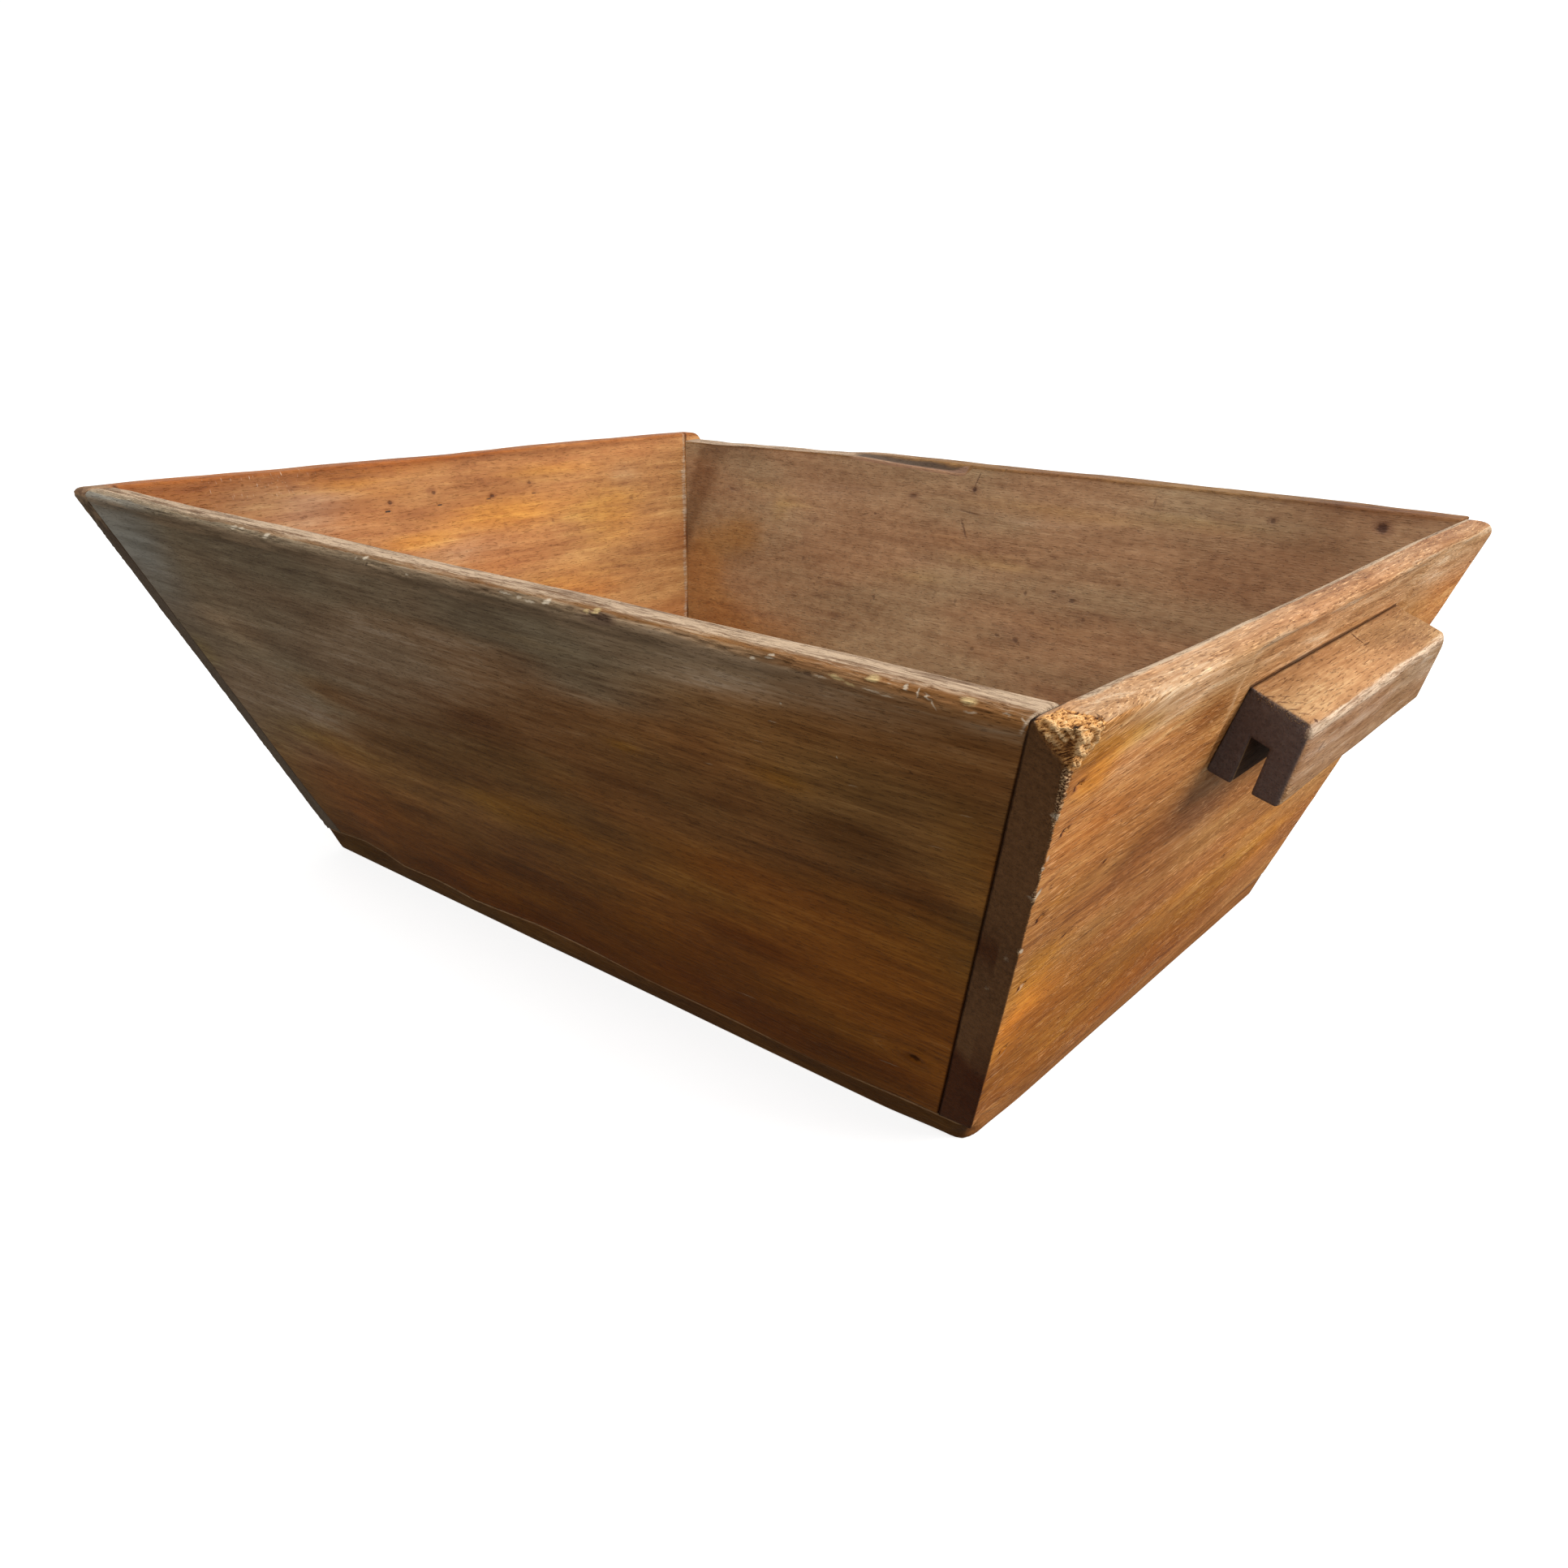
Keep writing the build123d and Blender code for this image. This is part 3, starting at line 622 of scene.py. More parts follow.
def back_side():
    """The back board: its rim is worn low at the left, and beyond that the inner half has split away
    from the outer, which leaves a slope that narrows to nothing."""
    board = Board(BACK, step=3.2, fine_u=[(-165, 12, 1.6), (-28, 8, 1.8)], fine_d=[(8, 8, 1.3)])
    line, inner = board.flat[:, 0], BACK.thickness - board.flat[:, 2]
    board.round_off(outer_rim=3.5 + 1.2 * noise(board.flat, (60, 90, 90), 51), inner_rim=1.8, upright=0.9)
    board.settle()
    common_wear(board, 400)
    # how far the outer and the inner skin of the rim have dropped, and how wide the slope between them is
    outer_drop = np.interp(line, (-400, -344, -277, -213, -183, -168, -154, -130),
                           (8, 7.7, 5.5, 4.1, 3.1, 1.7, 0.5, -0.4))
    inner_drop = np.interp(
        line, (-400, -344, -277, -213, -182, -168, -153, -133, -113, -94, -57, -44, -31, -25),
        (8.6, 8.2, 5, 3.8, 3, 2.6, 3.2, 4, 5.2, 6, 7.2, 7.8, 7, -0.4))
    wide = np.interp(line, (-400, -180, -160, -90, -44, -25), (22, 20, 15, 9, 4, 1.5))
    slope = smooth(0.15, 1, inner / wide + 0.12 * noise(board.flat, (24, 8, 4), 53))
    board.drop_rim(inner_drop + (outer_drop - inner_drop) * slope)
    split = smooth(-178, -150, line) * smooth(-24, -34, line)
    # painted shade on the split's slope and a painted highlight on the edge under it
    board.mark("fracture", split * (board.top < 1.8) * hill(inner / wide, 0.42, 0.32))
    board.mark("split_edge", split * smooth(3.2, 1.2, inner) * (board.top < 3.5))
    board.mark("bare", 0.7 * (1 - smooth(0.4, 1.8, board.top)) * (1 - board.marks["fracture"])
               * smooth(-20, -200, line))
    inside = board.w > BACK.thickness - 4
    dents = (((-17, 30), 2.4, 8, 0.5), ((337, 22.4), 9, 7, 0.4), ((-19, 68), 1.8, 24, 0.3))
    for middle, length, width, deep in dents:
        board.sink(deep * slot_at(board.u, board.d, middle, length, width) * inside, "inside")
    tint_faces(board, on_outside=False, seed=410,
        stain=((-345, 50, 22, 50, 0.8), (-290, 24, 70, 10, 0.5), (-150, 40, 60, 12, 0.45),
            (336, 8, 60, 10, 0.9), (150, 190, 110, 30, 0.4), (240, 80, 90, 50, 0.45),
            (-352, 120, 9, 100, 0.7), (-267, 126, 40, 24, 0.4), (300, 42, 40, 24, 0.45)),
        faded=((80, 84, 220, 26, 0.3),),
        gold=((-262, 52, 40, 7, 0.3), (-215, 66, 30, 6, 0.3), (60, 42, 120, 9, 0.3),
            (-60, 118, 60, 12, 0.25), (20, 92, 60, 10, 0.35), (210, 36, 70, 8, 0.25),
            (100, 140, 60, 10, 0.2), (-235, 78, 14, 14, 0.3)),
        # faint painted bluish sheen on the inner face
        cool=((-170, 44, 60, 16, 0.13), (0, 52, 60, 12, 0.099), (100, 70, 80, 16, 0.088),
            (-60, 150, 60, 30, 0.061), (-120, 90, 90, 30, 0.088), (150, 40, 120, 20, 0.077)),
        red=((-325, 140, 34, 40, 1.0), (-300, 200, 60, 40, 1.0), (-275, 105, 30, 22, 0.8),
            (-30, 80, 30, 14, 0.3), (-200, 210, 80, 30, 0.6)))
    return *board.skin(), board.marks


def bottom_board():
    """A flat board with its edge slanting out in line with the walls, its lower arris and its corners
    worn round and its upper edge following the strayed seam."""
    x_line = graded(-1, 1, 3.2 / 306, [(-1, 0.03, 0.004), (1, 0.03, 0.004)])
    y_line = graded(-1, 1, 3.4 / 200, [(-1, 0.05, 0.006), (1, 0.05, 0.006)])
    block, faces = shell(x_line, y_line, graded(0, BOTTOM_THICKNESS, 1.2))
    s, t, z = block.T
    half_x, half_y = 300, 200
    x_far, y_far = (1 - abs(s)) * half_x, (1 - abs(t)) * half_y
    flat = np.stack((s * half_x, t * half_y, z), 1)
    near = smooth(0.8, 0.96, s) * smooth(-0.72, -0.94, t)
    worn = 2.4 + 0.6 * noise(flat, 60, 61) + 3.6 * near
    x_far, y_far = eased(x_far, y_far, 5 + near * (4 + 8 * smooth(17, 5, z)))
    z, x_far = eased(z, x_far, worn)
    z, y_far = eased(z, y_far, worn)
    top, x_far = eased(BOTTOM_THICKNESS - z, x_far, 0.6)
    top, y_far = eased(top, y_far, 0.6)
    z = BOTTOM_THICKNESS - top
    x = np.copysign(end_reach(z) * (1 - x_far / half_x), s)
    y = np.copysign(side_reach(z) * (1 - y_far / half_y), t)
    points = np.stack((x, y, z), 1)
    underside = z < 2
    edge = np.minimum(x_far, y_far)
    points[:, 2] += underside * 0.5 * (0.5 + 0.5 * noise(points, (140, 60, 60), 62)) * smooth(0, 25, edge)
    points[:, 2] += seam_lift(points) * smooth(4, BOTTOM_THICKNESS, z)
    marks = {"bare": 0.8 * underside * smooth(12, 2, edge), "inner": z > 16,
             "golden": smooth(8, 2, x_far) * smooth(3, 9, y_far) * (z < 16.8),
             "grime": 0.35 * smooth(15.5, 17, z) * smooth(40, 20, edge)}
    return points, facing_out(points, faces), marks


def bent(a, corners, ease):
    """A path through corners at a = 0, 1, 2, 3, straight between them. At an inner corner k it is a
    parabola that starts and ends ease[k] away in a, with the corner as its control point."""
    corners = np.array(corners, float)
    path = np.stack([np.interp(a, range(len(corners)), line) for line in corners.T], 1)
    for k, reach in ease.items():
        q = ((a - k + reach) / (2 * reach))[:, None]
        start = corners[k] + (corners[k - 1] - corners[k]) * reach
        end = corners[k] + (corners[k + 1] - corners[k]) * reach
        curve = (1 - q) ** 2 * start + 2 * q * (1 - q) * corners[k] + q * q * end
        path = np.where((q > 0) & (q < 1), curve, path)
    return path


def grip_block(end):
    """A grip: its section is a ribbon bent over the finger groove, carried along Y.

    a runs 0 to 3 along the ribbon, up the leg on the wall, over the groove and down the front leg;
    b runs 0 to 1 from the groove's skin to the outer skin. A point is groove(a)(1 - b) + outer(a) b."""
    wall = RIGHT if end > 0 else LEFT
    lean = (GRIP_FOOT_REACH - GRIP_TOP_REACH) / GRIP_FRONT_HEIGHT
    roof, front = BACK_LEG - lean * GROOVE_DEPTH, BACK_LEG - lean * GROOVE_DEPTH + GROOVE_WIDTH

    def foot(x):
        """The height of the grip's slanting underside at x out from the wall."""
        rise = GRIP_HEIGHT - GRIP_FRONT_HEIGHT
        return -GRIP_HEIGHT + (x + SEAT_DEPTH) * rise / (GRIP_FOOT_REACH + SEAT_DEPTH)

    outer = ((-SEAT_DEPTH, -GRIP_HEIGHT), (-SEAT_DEPTH, 0), (GRIP_TOP_REACH, 0),
             (GRIP_FOOT_REACH, -GRIP_FRONT_HEIGHT))
    low, foot_front = GROOVE_DEPTH - GRIP_HEIGHT, front + lean * GROOVE_DEPTH
    groove = ((BACK_LEG, foot(BACK_LEG)), (roof, low), (front, low), (foot_front, foot(foot_front)))
    half = GRIP_LENGTH / 2
    a_line = graded(0, 3, 0.036, [(0, 0.05, 0.02), (1, 0.05, 0.02), (2, 0.11, 0.011), (3, 0.06, 0.02)])
    y_line = graded(-half, half, 2.0, [(-half, 8, 0.8), (half, 8, 0.8)])
    block, faces = shell(a_line, graded(0, 1, 0.11, [(1, 0.12, 0.05)]), y_line / half)
    a, b, t = block.T
    flat = np.stack((a * 40, b * 12, t * half), 1)
    thick = np.interp(a, (0, 1, 2, 3), (12.5, 22, 24, 16))
    back_run, front_run = 50, 46  # the legs' lengths, for distances from their tips
    tip = np.minimum(a * back_run, (3 - a) * front_run)
    skin, out_far = (1 - b) * thick, (1 - abs(t)) * half
    worn = 1.6 + 0.6 * noise(flat, 12, 71) + 2.4 * smooth(1.75, 2.1, a) + 1.6 * (t > 0)
    tip, skin = eased(tip, skin, 3 + 2.5 * (a > 1.5))
    skin, out_far = eased(skin, out_far, worn * smooth(1.02, 1.2, a) + 0.4)
    groove_far = thick - skin
    tip, groove_far = eased(tip, groove_far, 3.2)
    groove_far, out_far = eased(groove_far, out_far, 0.8)
    tip, out_far = eased(tip, out_far, 2.5)
    b = 1 - (thick - groove_far) / thick
    share = b[:, None]
    a = np.where(a < 1.5, np.where(a * back_run < tip, tip / back_run, a),
                 np.where((3 - a) * front_run < tip, 3 - tip / front_run, a))
    place = bent(a, groove, {1: 0.06, 2: 0.06}) * (1 - share) + bent(a, outer, {2: 0.13}) * share
    y = np.copysign(half - out_far, t)
    # handled wear: the top dips a little between its ends, every face waves, and the front arris is rough
    top = smooth(1.02, 1.15, a) * smooth(2.0, 1.9, a) * b
    front_skin = smooth(2.0, 2.15, a) * b
    place[:, 1] -= top * (0.5 + 0.5 * noise(flat, (30, 30, 60), 72)) * smooth(half, half - 30, abs(y))
    place[:, 0] -= front_skin * (0.5 + 0.5 * noise(flat, (30, 30, 50), 73))
    points = wall.place(y + GRIP_SHIFTS[end], GRIP_DROP - place[:, 1], -place[:, 0])
    faces = facing_out(points, faces)
    torn = (smooth(2.2, 0.3, half - abs(y)) * smooth(1.02, 1.1, a) * smooth(2.05, 1.9, a)
            * smooth(0.6, 0.95, b))
    arris = hill(a, 2.03, 0.12) * smooth(0.7, 0.95, b)
    fibres = abs(noise(flat, (2.2, 3, 6), 74)) - 0.5 + 0.4 * noise(flat, (1.2, 2, 3), 75)
    chips = 0.7 * noise(flat, (3, 3, 9), 76) - 0.6 * hill(y, 22, 3.0) - 0.4
    points = points + outward_normals(points, faces) * (torn * (0.9 * fibres - 0.2) + arris * chips)[:, None]
    in_groove = smooth(0.5, 0.1, b) * smooth(1, 4, half - abs(y))
    marks = {"torn": 0.3 * torn, "end_grain": smooth(1.6, 0.4, half - abs(y)),
             # painted shade inside the finger groove and along its inner corner
             "grime": np.maximum(0.9 * in_groove, 0.85 * hill(a, 1.0, 0.035) * smooth(0.8, 1, b)),
             "bare": 0.8 * arris + hill(a, 3, 0.05) * 0.4, "gold": 0.1 * top,
             "red": 0.3 * front_skin * smooth(2.2, 2.8, a),
             # painted highlight: bluish-white on the front arris at the near end, and a faint painted sheen
             # on the front face
             "cool": np.maximum(0.7 * arris * smooth(half - 16, half - 6, -y), 0.3 * front_skin)}
    return points, faces, marks


# ---------------------------------------------------------------- materials
# Dark to light, at these places on a ramp from 0 to 1.
TONE_PLACES = (0.10, 0.40, 0.62, 0.92)
RUST_PLACES, KNOT_PLACES = (0.30, 0.45, 0.60, 0.75), (0.43, 0.54, 0.63, 0.82)
# The side boards' outer tones: a darker copy of the end boards' wood, partly painted shade, as the front
# board's face turns from the light.
NUT_AND_SHADE_TONES = ((0.096, 0.038, 0.011), (0.182, 0.081, 0.024), (0.258, 0.122, 0.038), (0.385, 0.21, 0.08))
GOLDEN_TONES = ((0.27, 0.098, 0.026), (0.45, 0.182, 0.050), (0.57, 0.250, 0.078), (0.76, 0.41, 0.155))
ORANGE_TONES = ((0.25, 0.096, 0.034), (0.39, 0.170, 0.060), (0.47, 0.225, 0.082), (0.62, 0.335, 0.130))
UMBER_TONES = ((0.18, 0.088, 0.044), (0.305, 0.176, 0.092), (0.385, 0.238, 0.130), (0.50, 0.33, 0.19))
GRIP_TONES = ((0.22, 0.100, 0.036), (0.35, 0.176, 0.070), (0.44, 0.240, 0.106), (0.60, 0.39, 0.20))
# The bottom board's edge band: darker than the side boards' tones, partly painted shade.
BAND_AND_SHADE_TONES = ((0.045, 0.016, 0.002), (0.082, 0.032, 0.005), (0.116, 0.050, 0.010), (0.20, 0.10, 0.03))
RUST_TONES = ((0.20, 0.070, 0.018), (0.34, 0.130, 0.036), (0.46, 0.190, 0.058), (0.58, 0.27, 0.10))
KNOT_TONES = ((0.10, 0.042, 0.016), (0.43, 0.180, 0.050), (0.84, 0.43, 0.145), (1.0, 0.66, 0.33))
ROUGHNESS, BUMP_DEPTH = 0.46, 0.0006  # of plain wood; the depth in metres
PLANK_BEND = 60.0  # how far a bend mark of 1 moves the grain across a board
OVAL_EDGE = (1.3, 0.55)  # an oval mark fades in between these, in half sizes from its middle
DEPTH_REACH, OWN_DEPTH_REACH = 4.0, 3.0
# Small marks: how each is laid over the colour, its tint, the face it lies on and how deep it goes.
SPOTS = {"halo": ("MULTIPLY", (0.50, 0.42, 0.50), "outside", 0.0),
         "smudges": ("MULTIPLY", (0.66, 0.58, 0.60), "inside", 0.0),
         "dark": ("MULTIPLY", (0.16, 0.11, 0.11), "outside", 0.8),
         "dents": ("MULTIPLY", (0.26, 0.20, 0.24), "inside", 0.8),
         "ticks": ("MULTIPLY", (0.25, 0.15, 0.10), "top", 0.8),
         "light": ("MIX", (0.68, 0.58, 0.44), "outside", 0.0),
         "cream": ("MIX", (0.62, 0.46, 0.22), "outside", 0.0)}


class Socket:
    """One output of a node, to reckon with. A sum on it adds its Math node."""

    def __init__(self, net, output):
        self.net, self.output = net, output

    def reckon(self, operation, *values):
        return self.net.node("Math", {"operation": operation}, dict(enumerate(values)))

    def __add__(self, other):
        return self.reckon("ADD", self, other)

    def __sub__(self, other):
        return self.reckon("SUBTRACT", self, other)

    def __mul__(self, other):
        return self.reckon("MULTIPLY", self, other)

    def at_least(self, other):
        return self.reckon("MAXIMUM", self, other)

    def step(self, low, high):
        """0 up to low and 1 from high, with an S-curve between. low may be the greater, for 1 to 0."""
        settings = {"interpolation_type": "SMOOTHSTEP"}
        return self.net.node("MapRange", settings, {"Value": self, "From Min": low, "From Max": high})

    __radd__ = __add__
    __rmul__ = __mul__


class Net:
    """The nodes of a material or a world, with one way to add any of them."""

    def __init__(self, holder):
        self.holder = holder
        holder.use_nodes = True
        self.tree = holder.node_tree
        self.tree.nodes.clear()

    def node(self, kind, settings=None, values=None, output=0):
        """A node of a kind, its settings first, then its sockets' values or links. Gives one output,
        where it has any."""
        made = self.tree.nodes.new("ShaderNode" + kind)
        for key, value in (settings or {}).items():
            if key == "stops":
                stops = made.color_ramp.elements
                for k, (place, colour) in enumerate(value):
                    stop = stops[k] if k < 2 else stops.new(place)
                    stop.position, stop.color = place, (*colour, 1)
            else:
                setattr(made, key, value)
        for key, value in (values or {}).items():
            if isinstance(value, Socket):
                self.tree.links.new(value.output, made.inputs[key])
            else:
                made.inputs[key].default_value = value
        return None if output is None else Socket(self, made.outputs[output])

    def mark(self, name):
        """A number kept at the piece's points."""
        return self.node("Attribute", {"attribute_name": name}, output="Fac")

    def part(self, vector, k):
        """One of a vector's three numbers."""
        return self.node("SeparateXYZ", values={0: vector}, output=k)

    def vector(self, operation, a, b, output=0):
        return self.node("VectorMath", {"operation": operation}, {0: a, 1: b}, output)

    def seat(self, wall):
        """Object coordinates turned into a wall's own (u, d, w), millimetres. With no wall they stay."""
        place = self.node("TexCoord", output="Object")
        if wall is None:
            return self.vector("MULTIPLY", place, (MILLIMETRES,) * 3)
        turned = [self.vector("DOT_PRODUCT", place, [MILLIMETRES * float(x) for x in axis], "Value")
                  - float(axis @ wall.corner) for axis in (wall.along, wall.down, -wall.out)]
        return self.node("CombineXYZ", values=dict(enumerate(turned)))

    def plank(self, seat, shift):
        """A seat bent across the grain by its mark, and shifted, so that no two boards are alike."""
        bend = self.node("CombineXYZ", values={1: self.mark("bend") * PLANK_BEND})
        return self.vector("ADD", self.vector("ADD", seat, bend), shift)

    def ragged(self, seat):
        """A seat pushed about by up to a millimetre, which gives small marks torn outlines."""
        push = self.node("TexNoise", values={"Vector": seat, "Scale": 0.45, "Detail": 3.0}, output="Color")
        centred = self.vector("SUBTRACT", push, (0.5, 0.5, 0.5))
        return self.vector("ADD", seat, self.vector("MULTIPLY", centred, (2.2, 1.3, 0.0)))

    def from_above(self, face):
        """A grip's place seen from above: along it, then in from its outer face, then down."""
        return self.node("CombineXYZ", values={0: self.part(face, 0), 1: self.part(face, 2) * -1.0,
                                               2: self.part(face, 1)})

    def ovals(self, seat, places, depth):
        """Where small marks lie: each (x, y, length, width, turn in degrees, strength) is an oval, the
        distance from its middle measured in its half sizes, with a soft edge. The third way it lies at
        the depth, or at its own depth where a seventh number gives one. The strongest holds."""
        total = None
        for x, y, length, width, turn, strength, *own in places:
            middle, reach = (own[0], OWN_DEPTH_REACH) if own else (depth, DEPTH_REACH)
            seen = self.node("Mapping", {"vector_type": "TEXTURE"}, {
                "Vector": seat, "Location": (x, y, middle), "Rotation": (0, 0, math.radians(turn)),
                "Scale": (length / 2, width / 2, reach)})
            away = self.node("VectorMath", {"operation": "LENGTH"}, {0: seen}, "Value")
            oval = away.step(*OVAL_EDGE) * strength
            total = oval if total is None else total.at_least(oval)
        return total

    def grainy(self, plank, along, across, detail=2.0, rough=0.5):
        """Noise with marks of a size along the grain and another across it, millimetres."""
        drawn = self.vector("MULTIPLY", plank, (1 / along, 1 / across, 1 / across))
        return self.node("TexNoise", values={"Vector": drawn, "Scale": 1.0, "Detail": detail,
                                             "Roughness": rough})

    def ramp(self, share, tones, places=TONE_PLACES):
        """A colour from dark to light: the tones at their places from 0 to 1, straight between."""
        return self.node("ValToRGB", {"stops": zip(places, tones)}, {"Fac": share})

    def colour(self, blend, base, over, share):
        """One colour over another: the share may be a socket."""
        values = {0: share, 6: base if isinstance(base, Socket) else (*base, 1),
                  7: over if isinstance(over, Socket) else (*over, 1)}
        return self.node("Mix", {"data_type": "RGBA", "blend_type": blend}, values, 2)

    def finish(self, colour, roughness, height, distance, **constants):
        """The surface: colour, roughness and bump from sockets, and constants on the shader itself."""
        bump = self.node("Bump", values={"Strength": 1.0, "Distance": distance, "Height": height})
        values = {"Base Color": colour, "Roughness": roughness, "Normal": bump, **constants}
        shader = self.node("BsdfPrincipled", values=values)
        self.node("OutputMaterial", values={"Surface": shader}, output=None)
        return self.holder


def grain_field(net, plank):
    """A plank's figure, each field about 0 to 1 round a half: broad clouds, soft wisps, fine fibre, small
    blotches, slow changes of hue, where short pale dashes (painted glints) and dark pores lie and in which
    patches, and splinters."""
    return {"cloud": net.grainy(plank, 170, 52, 3, 0.55), "wisp": net.grainy(plank, 74, 7, 4, 0.6),
            "hair": net.grainy(plank, 30, 1.5, 3, 0.7), "blotch": net.grainy(plank, 11, 7, 3, 0.6),
            "hue": net.grainy(plank, 230, 60, 2), "dash": net.grainy(plank, 9, 0.85, 1),
            "pore": net.grainy(plank, 6, 0.8, 1), "patch": net.grainy(plank, 42, 22, 2),
            "splinter": net.grainy(plank, 4, 0.8, 2, 0.6)}


def wood(name, wall, shift, tones, inner_tones=None, weights=(0.5, 0.4, 0.4, 0.15), bare=(0.52, 0.37, 0.25),
         bare_dark=(0.22, 0.15, 0.10), end_tones=((0.105, 0.046, 0.016), (0.20, 0.096, 0.038)),
         dashes=(0.35, 0.3), pale=(0.30, 0.19, 0.10), gloss=0.14, outside=1.5, extra=None, **spots):
    """A board's material. tones are the stops of its colour ramp from dark to light; weights are the shares
    of clouds, wisps, fibres and blotches; dashes those of dark pores and of pale dashes, which are painted
    glints on the raised grain in the colour pale. spots are the small marks: dark, halo and light ones
    outside, dents and smudges inside, ticks on a grip's top."""
    net = Net(bpy.data.materials.new(name))
    inside = (wall.thickness if wall else 0) - 1.5
    seat = net.seat(wall)
    plank = net.plank(seat, shift)
    field = grain_field(net, plank)
    splinter, mix = field["splinter"], net.colour

    def frayed(mark, strength, low, high, **shares):
        """Where a mark lies, its edge frayed by shares of the figure's fields."""
        edge = net.mark(mark) * strength
        for kind, share in shares.items():
            edge = edge + (field[kind] - 0.5) * share
        return edge.step(low, high)

    first, *others = [(field[kind] - 0.5) * weight * 2
                      for kind, weight in zip(("cloud", "wisp", "hair", "blotch"), weights)]
    tone = sum(others, first) + 0.5
    base = net.ramp(tone, tones)
    if inner_tones:
        base = mix("MIX", base, net.ramp(tone, inner_tones), net.mark("inner"))
    hue = mix("MIX", (0.97, 1.03, 1.02), (1.04, 0.96, 0.90), field["hue"].step(0.36, 0.64))
    base = mix("MULTIPLY", base, hue, 1.0)
    for kind, tint in TINTS.items():
        spread = frayed(kind, 1.2, 0.08, 1.05, wisp=0.5, cloud=0.35)
        base = mix("MULTIPLY", base, tint, spread * net.mark(kind).step(0.0, 0.2))
    # the pale dashes are painted glints on the raised grain; the dark pores are the wood's own
    pore, lively = field["pore"].step(0.60, 0.72), field["patch"].step(0.40, 0.60)
    dash = field["dash"].step(0.57, 0.68) * (lively * 0.7 + 0.3)
    base = mix("MULTIPLY", base, (0.52, 0.43, 0.38), pore * dashes[0])
    base = mix("ADD", base, pale, dash * dashes[1])
    rise = 0.0
    if extra:
        base, rise = extra(net, plank, field, base)
    # sawn end grain, a weathered skin, bare worn wood with one painted highlight, torn fibres, scratches, and
    # dirt with painted shade, in that order
    cut = net.node("TexNoise", values={"Vector": plank, "Scale": 0.35, "Detail": 4.0, "Roughness": 0.65})
    ends = mix("MIX", *end_tones, (cut * 0.6 + field["cloud"] * 0.4).step(0.3, 0.7))
    base = mix("MIX", base, mix("MULTIPLY", ends, (0.44, 0.20, 0.05), net.mark("stain") * 0.97),
               net.mark("end_grain"))
    weather = frayed("weathered", 1.3, 0.25, 1.05, wisp=1.6, hair=1.0)
    silver = mix("MIX", (0.125, 0.083, 0.048), (0.34, 0.235, 0.145), field["wisp"].step(0.4, 0.62))
    base = mix("MIX", base, silver, weather * 0.75)
    # bare: bare worn wood, and the painted pale band beside the far end board's corner seam
    worn = frayed("bare", 1.5, 0.35, 1.0, wisp=1.3, hair=1.1)
    worn_pale = mix("MIX", bare_dark, bare, (field["hair"] * 0.6 + field["wisp"] * 0.4).step(0.38, 0.57))
    base = mix("MIX", base, mix("MULTIPLY", worn_pale, (0.5, 0.40, 0.34), pore * 0.7), worn * 0.92)
    broken = frayed("torn", 1.5, 0.35, 0.85, splinter=1.4)
    torn = mix("MIX", (0.10, 0.045, 0.020), (0.84, 0.54, 0.29), splinter.step(0.46, 0.60))
    base = mix("MIX", base, torn, broken * 0.85)
    scratch = net.grainy(plank, 1.0, 7, 2).step(0.66, 0.72) * net.mark("scratch")
    base = mix("MIX", base, (0.75, 0.62, 0.5), scratch * 0.5)
    # dirt and painted shade: dark joints and seams, and painted shade in the grips' grooves and along the
    # front board's foot
    dirt_and_shade = frayed("grime", 1.0, 0.08, 0.85, wisp=0.5)
    base = mix("MULTIPLY", base, (0.20, 0.15, 0.14), dirt_and_shade * 0.9)
    height = (field["hair"] * 0.5 + field["wisp"] * 0.35 + field["blotch"] * 0.25 - pore * 0.6
              + dash * 0.35 + broken * splinter * 1.6 + worn * field["hair"] * 0.9
              + cut * net.mark("end_grain") * 0.4 + rise)
    if spots:
        face = net.ragged(seat)
        for kind, (blend, tint, side, pit) in SPOTS.items():
            if kind in spots:
                depth = {"outside": outside, "inside": inside, "top": GRIP_DROP}[side]
                oval = net.ovals(net.from_above(face) if side == "top" else face, spots[kind], depth)
                base = mix(blend, base, tint, oval)
                height = height - oval * pit
    shine = (ROUGHNESS + worn * 0.25 + weather * 0.2 + broken * 0.3 + dirt_and_shade * 0.15
             + (field["cloud"] - 0.5) * 0.2)
    return net.finish(base, shine, height, BUMP_DEPTH, **{"Specular IOR Level": gloss})


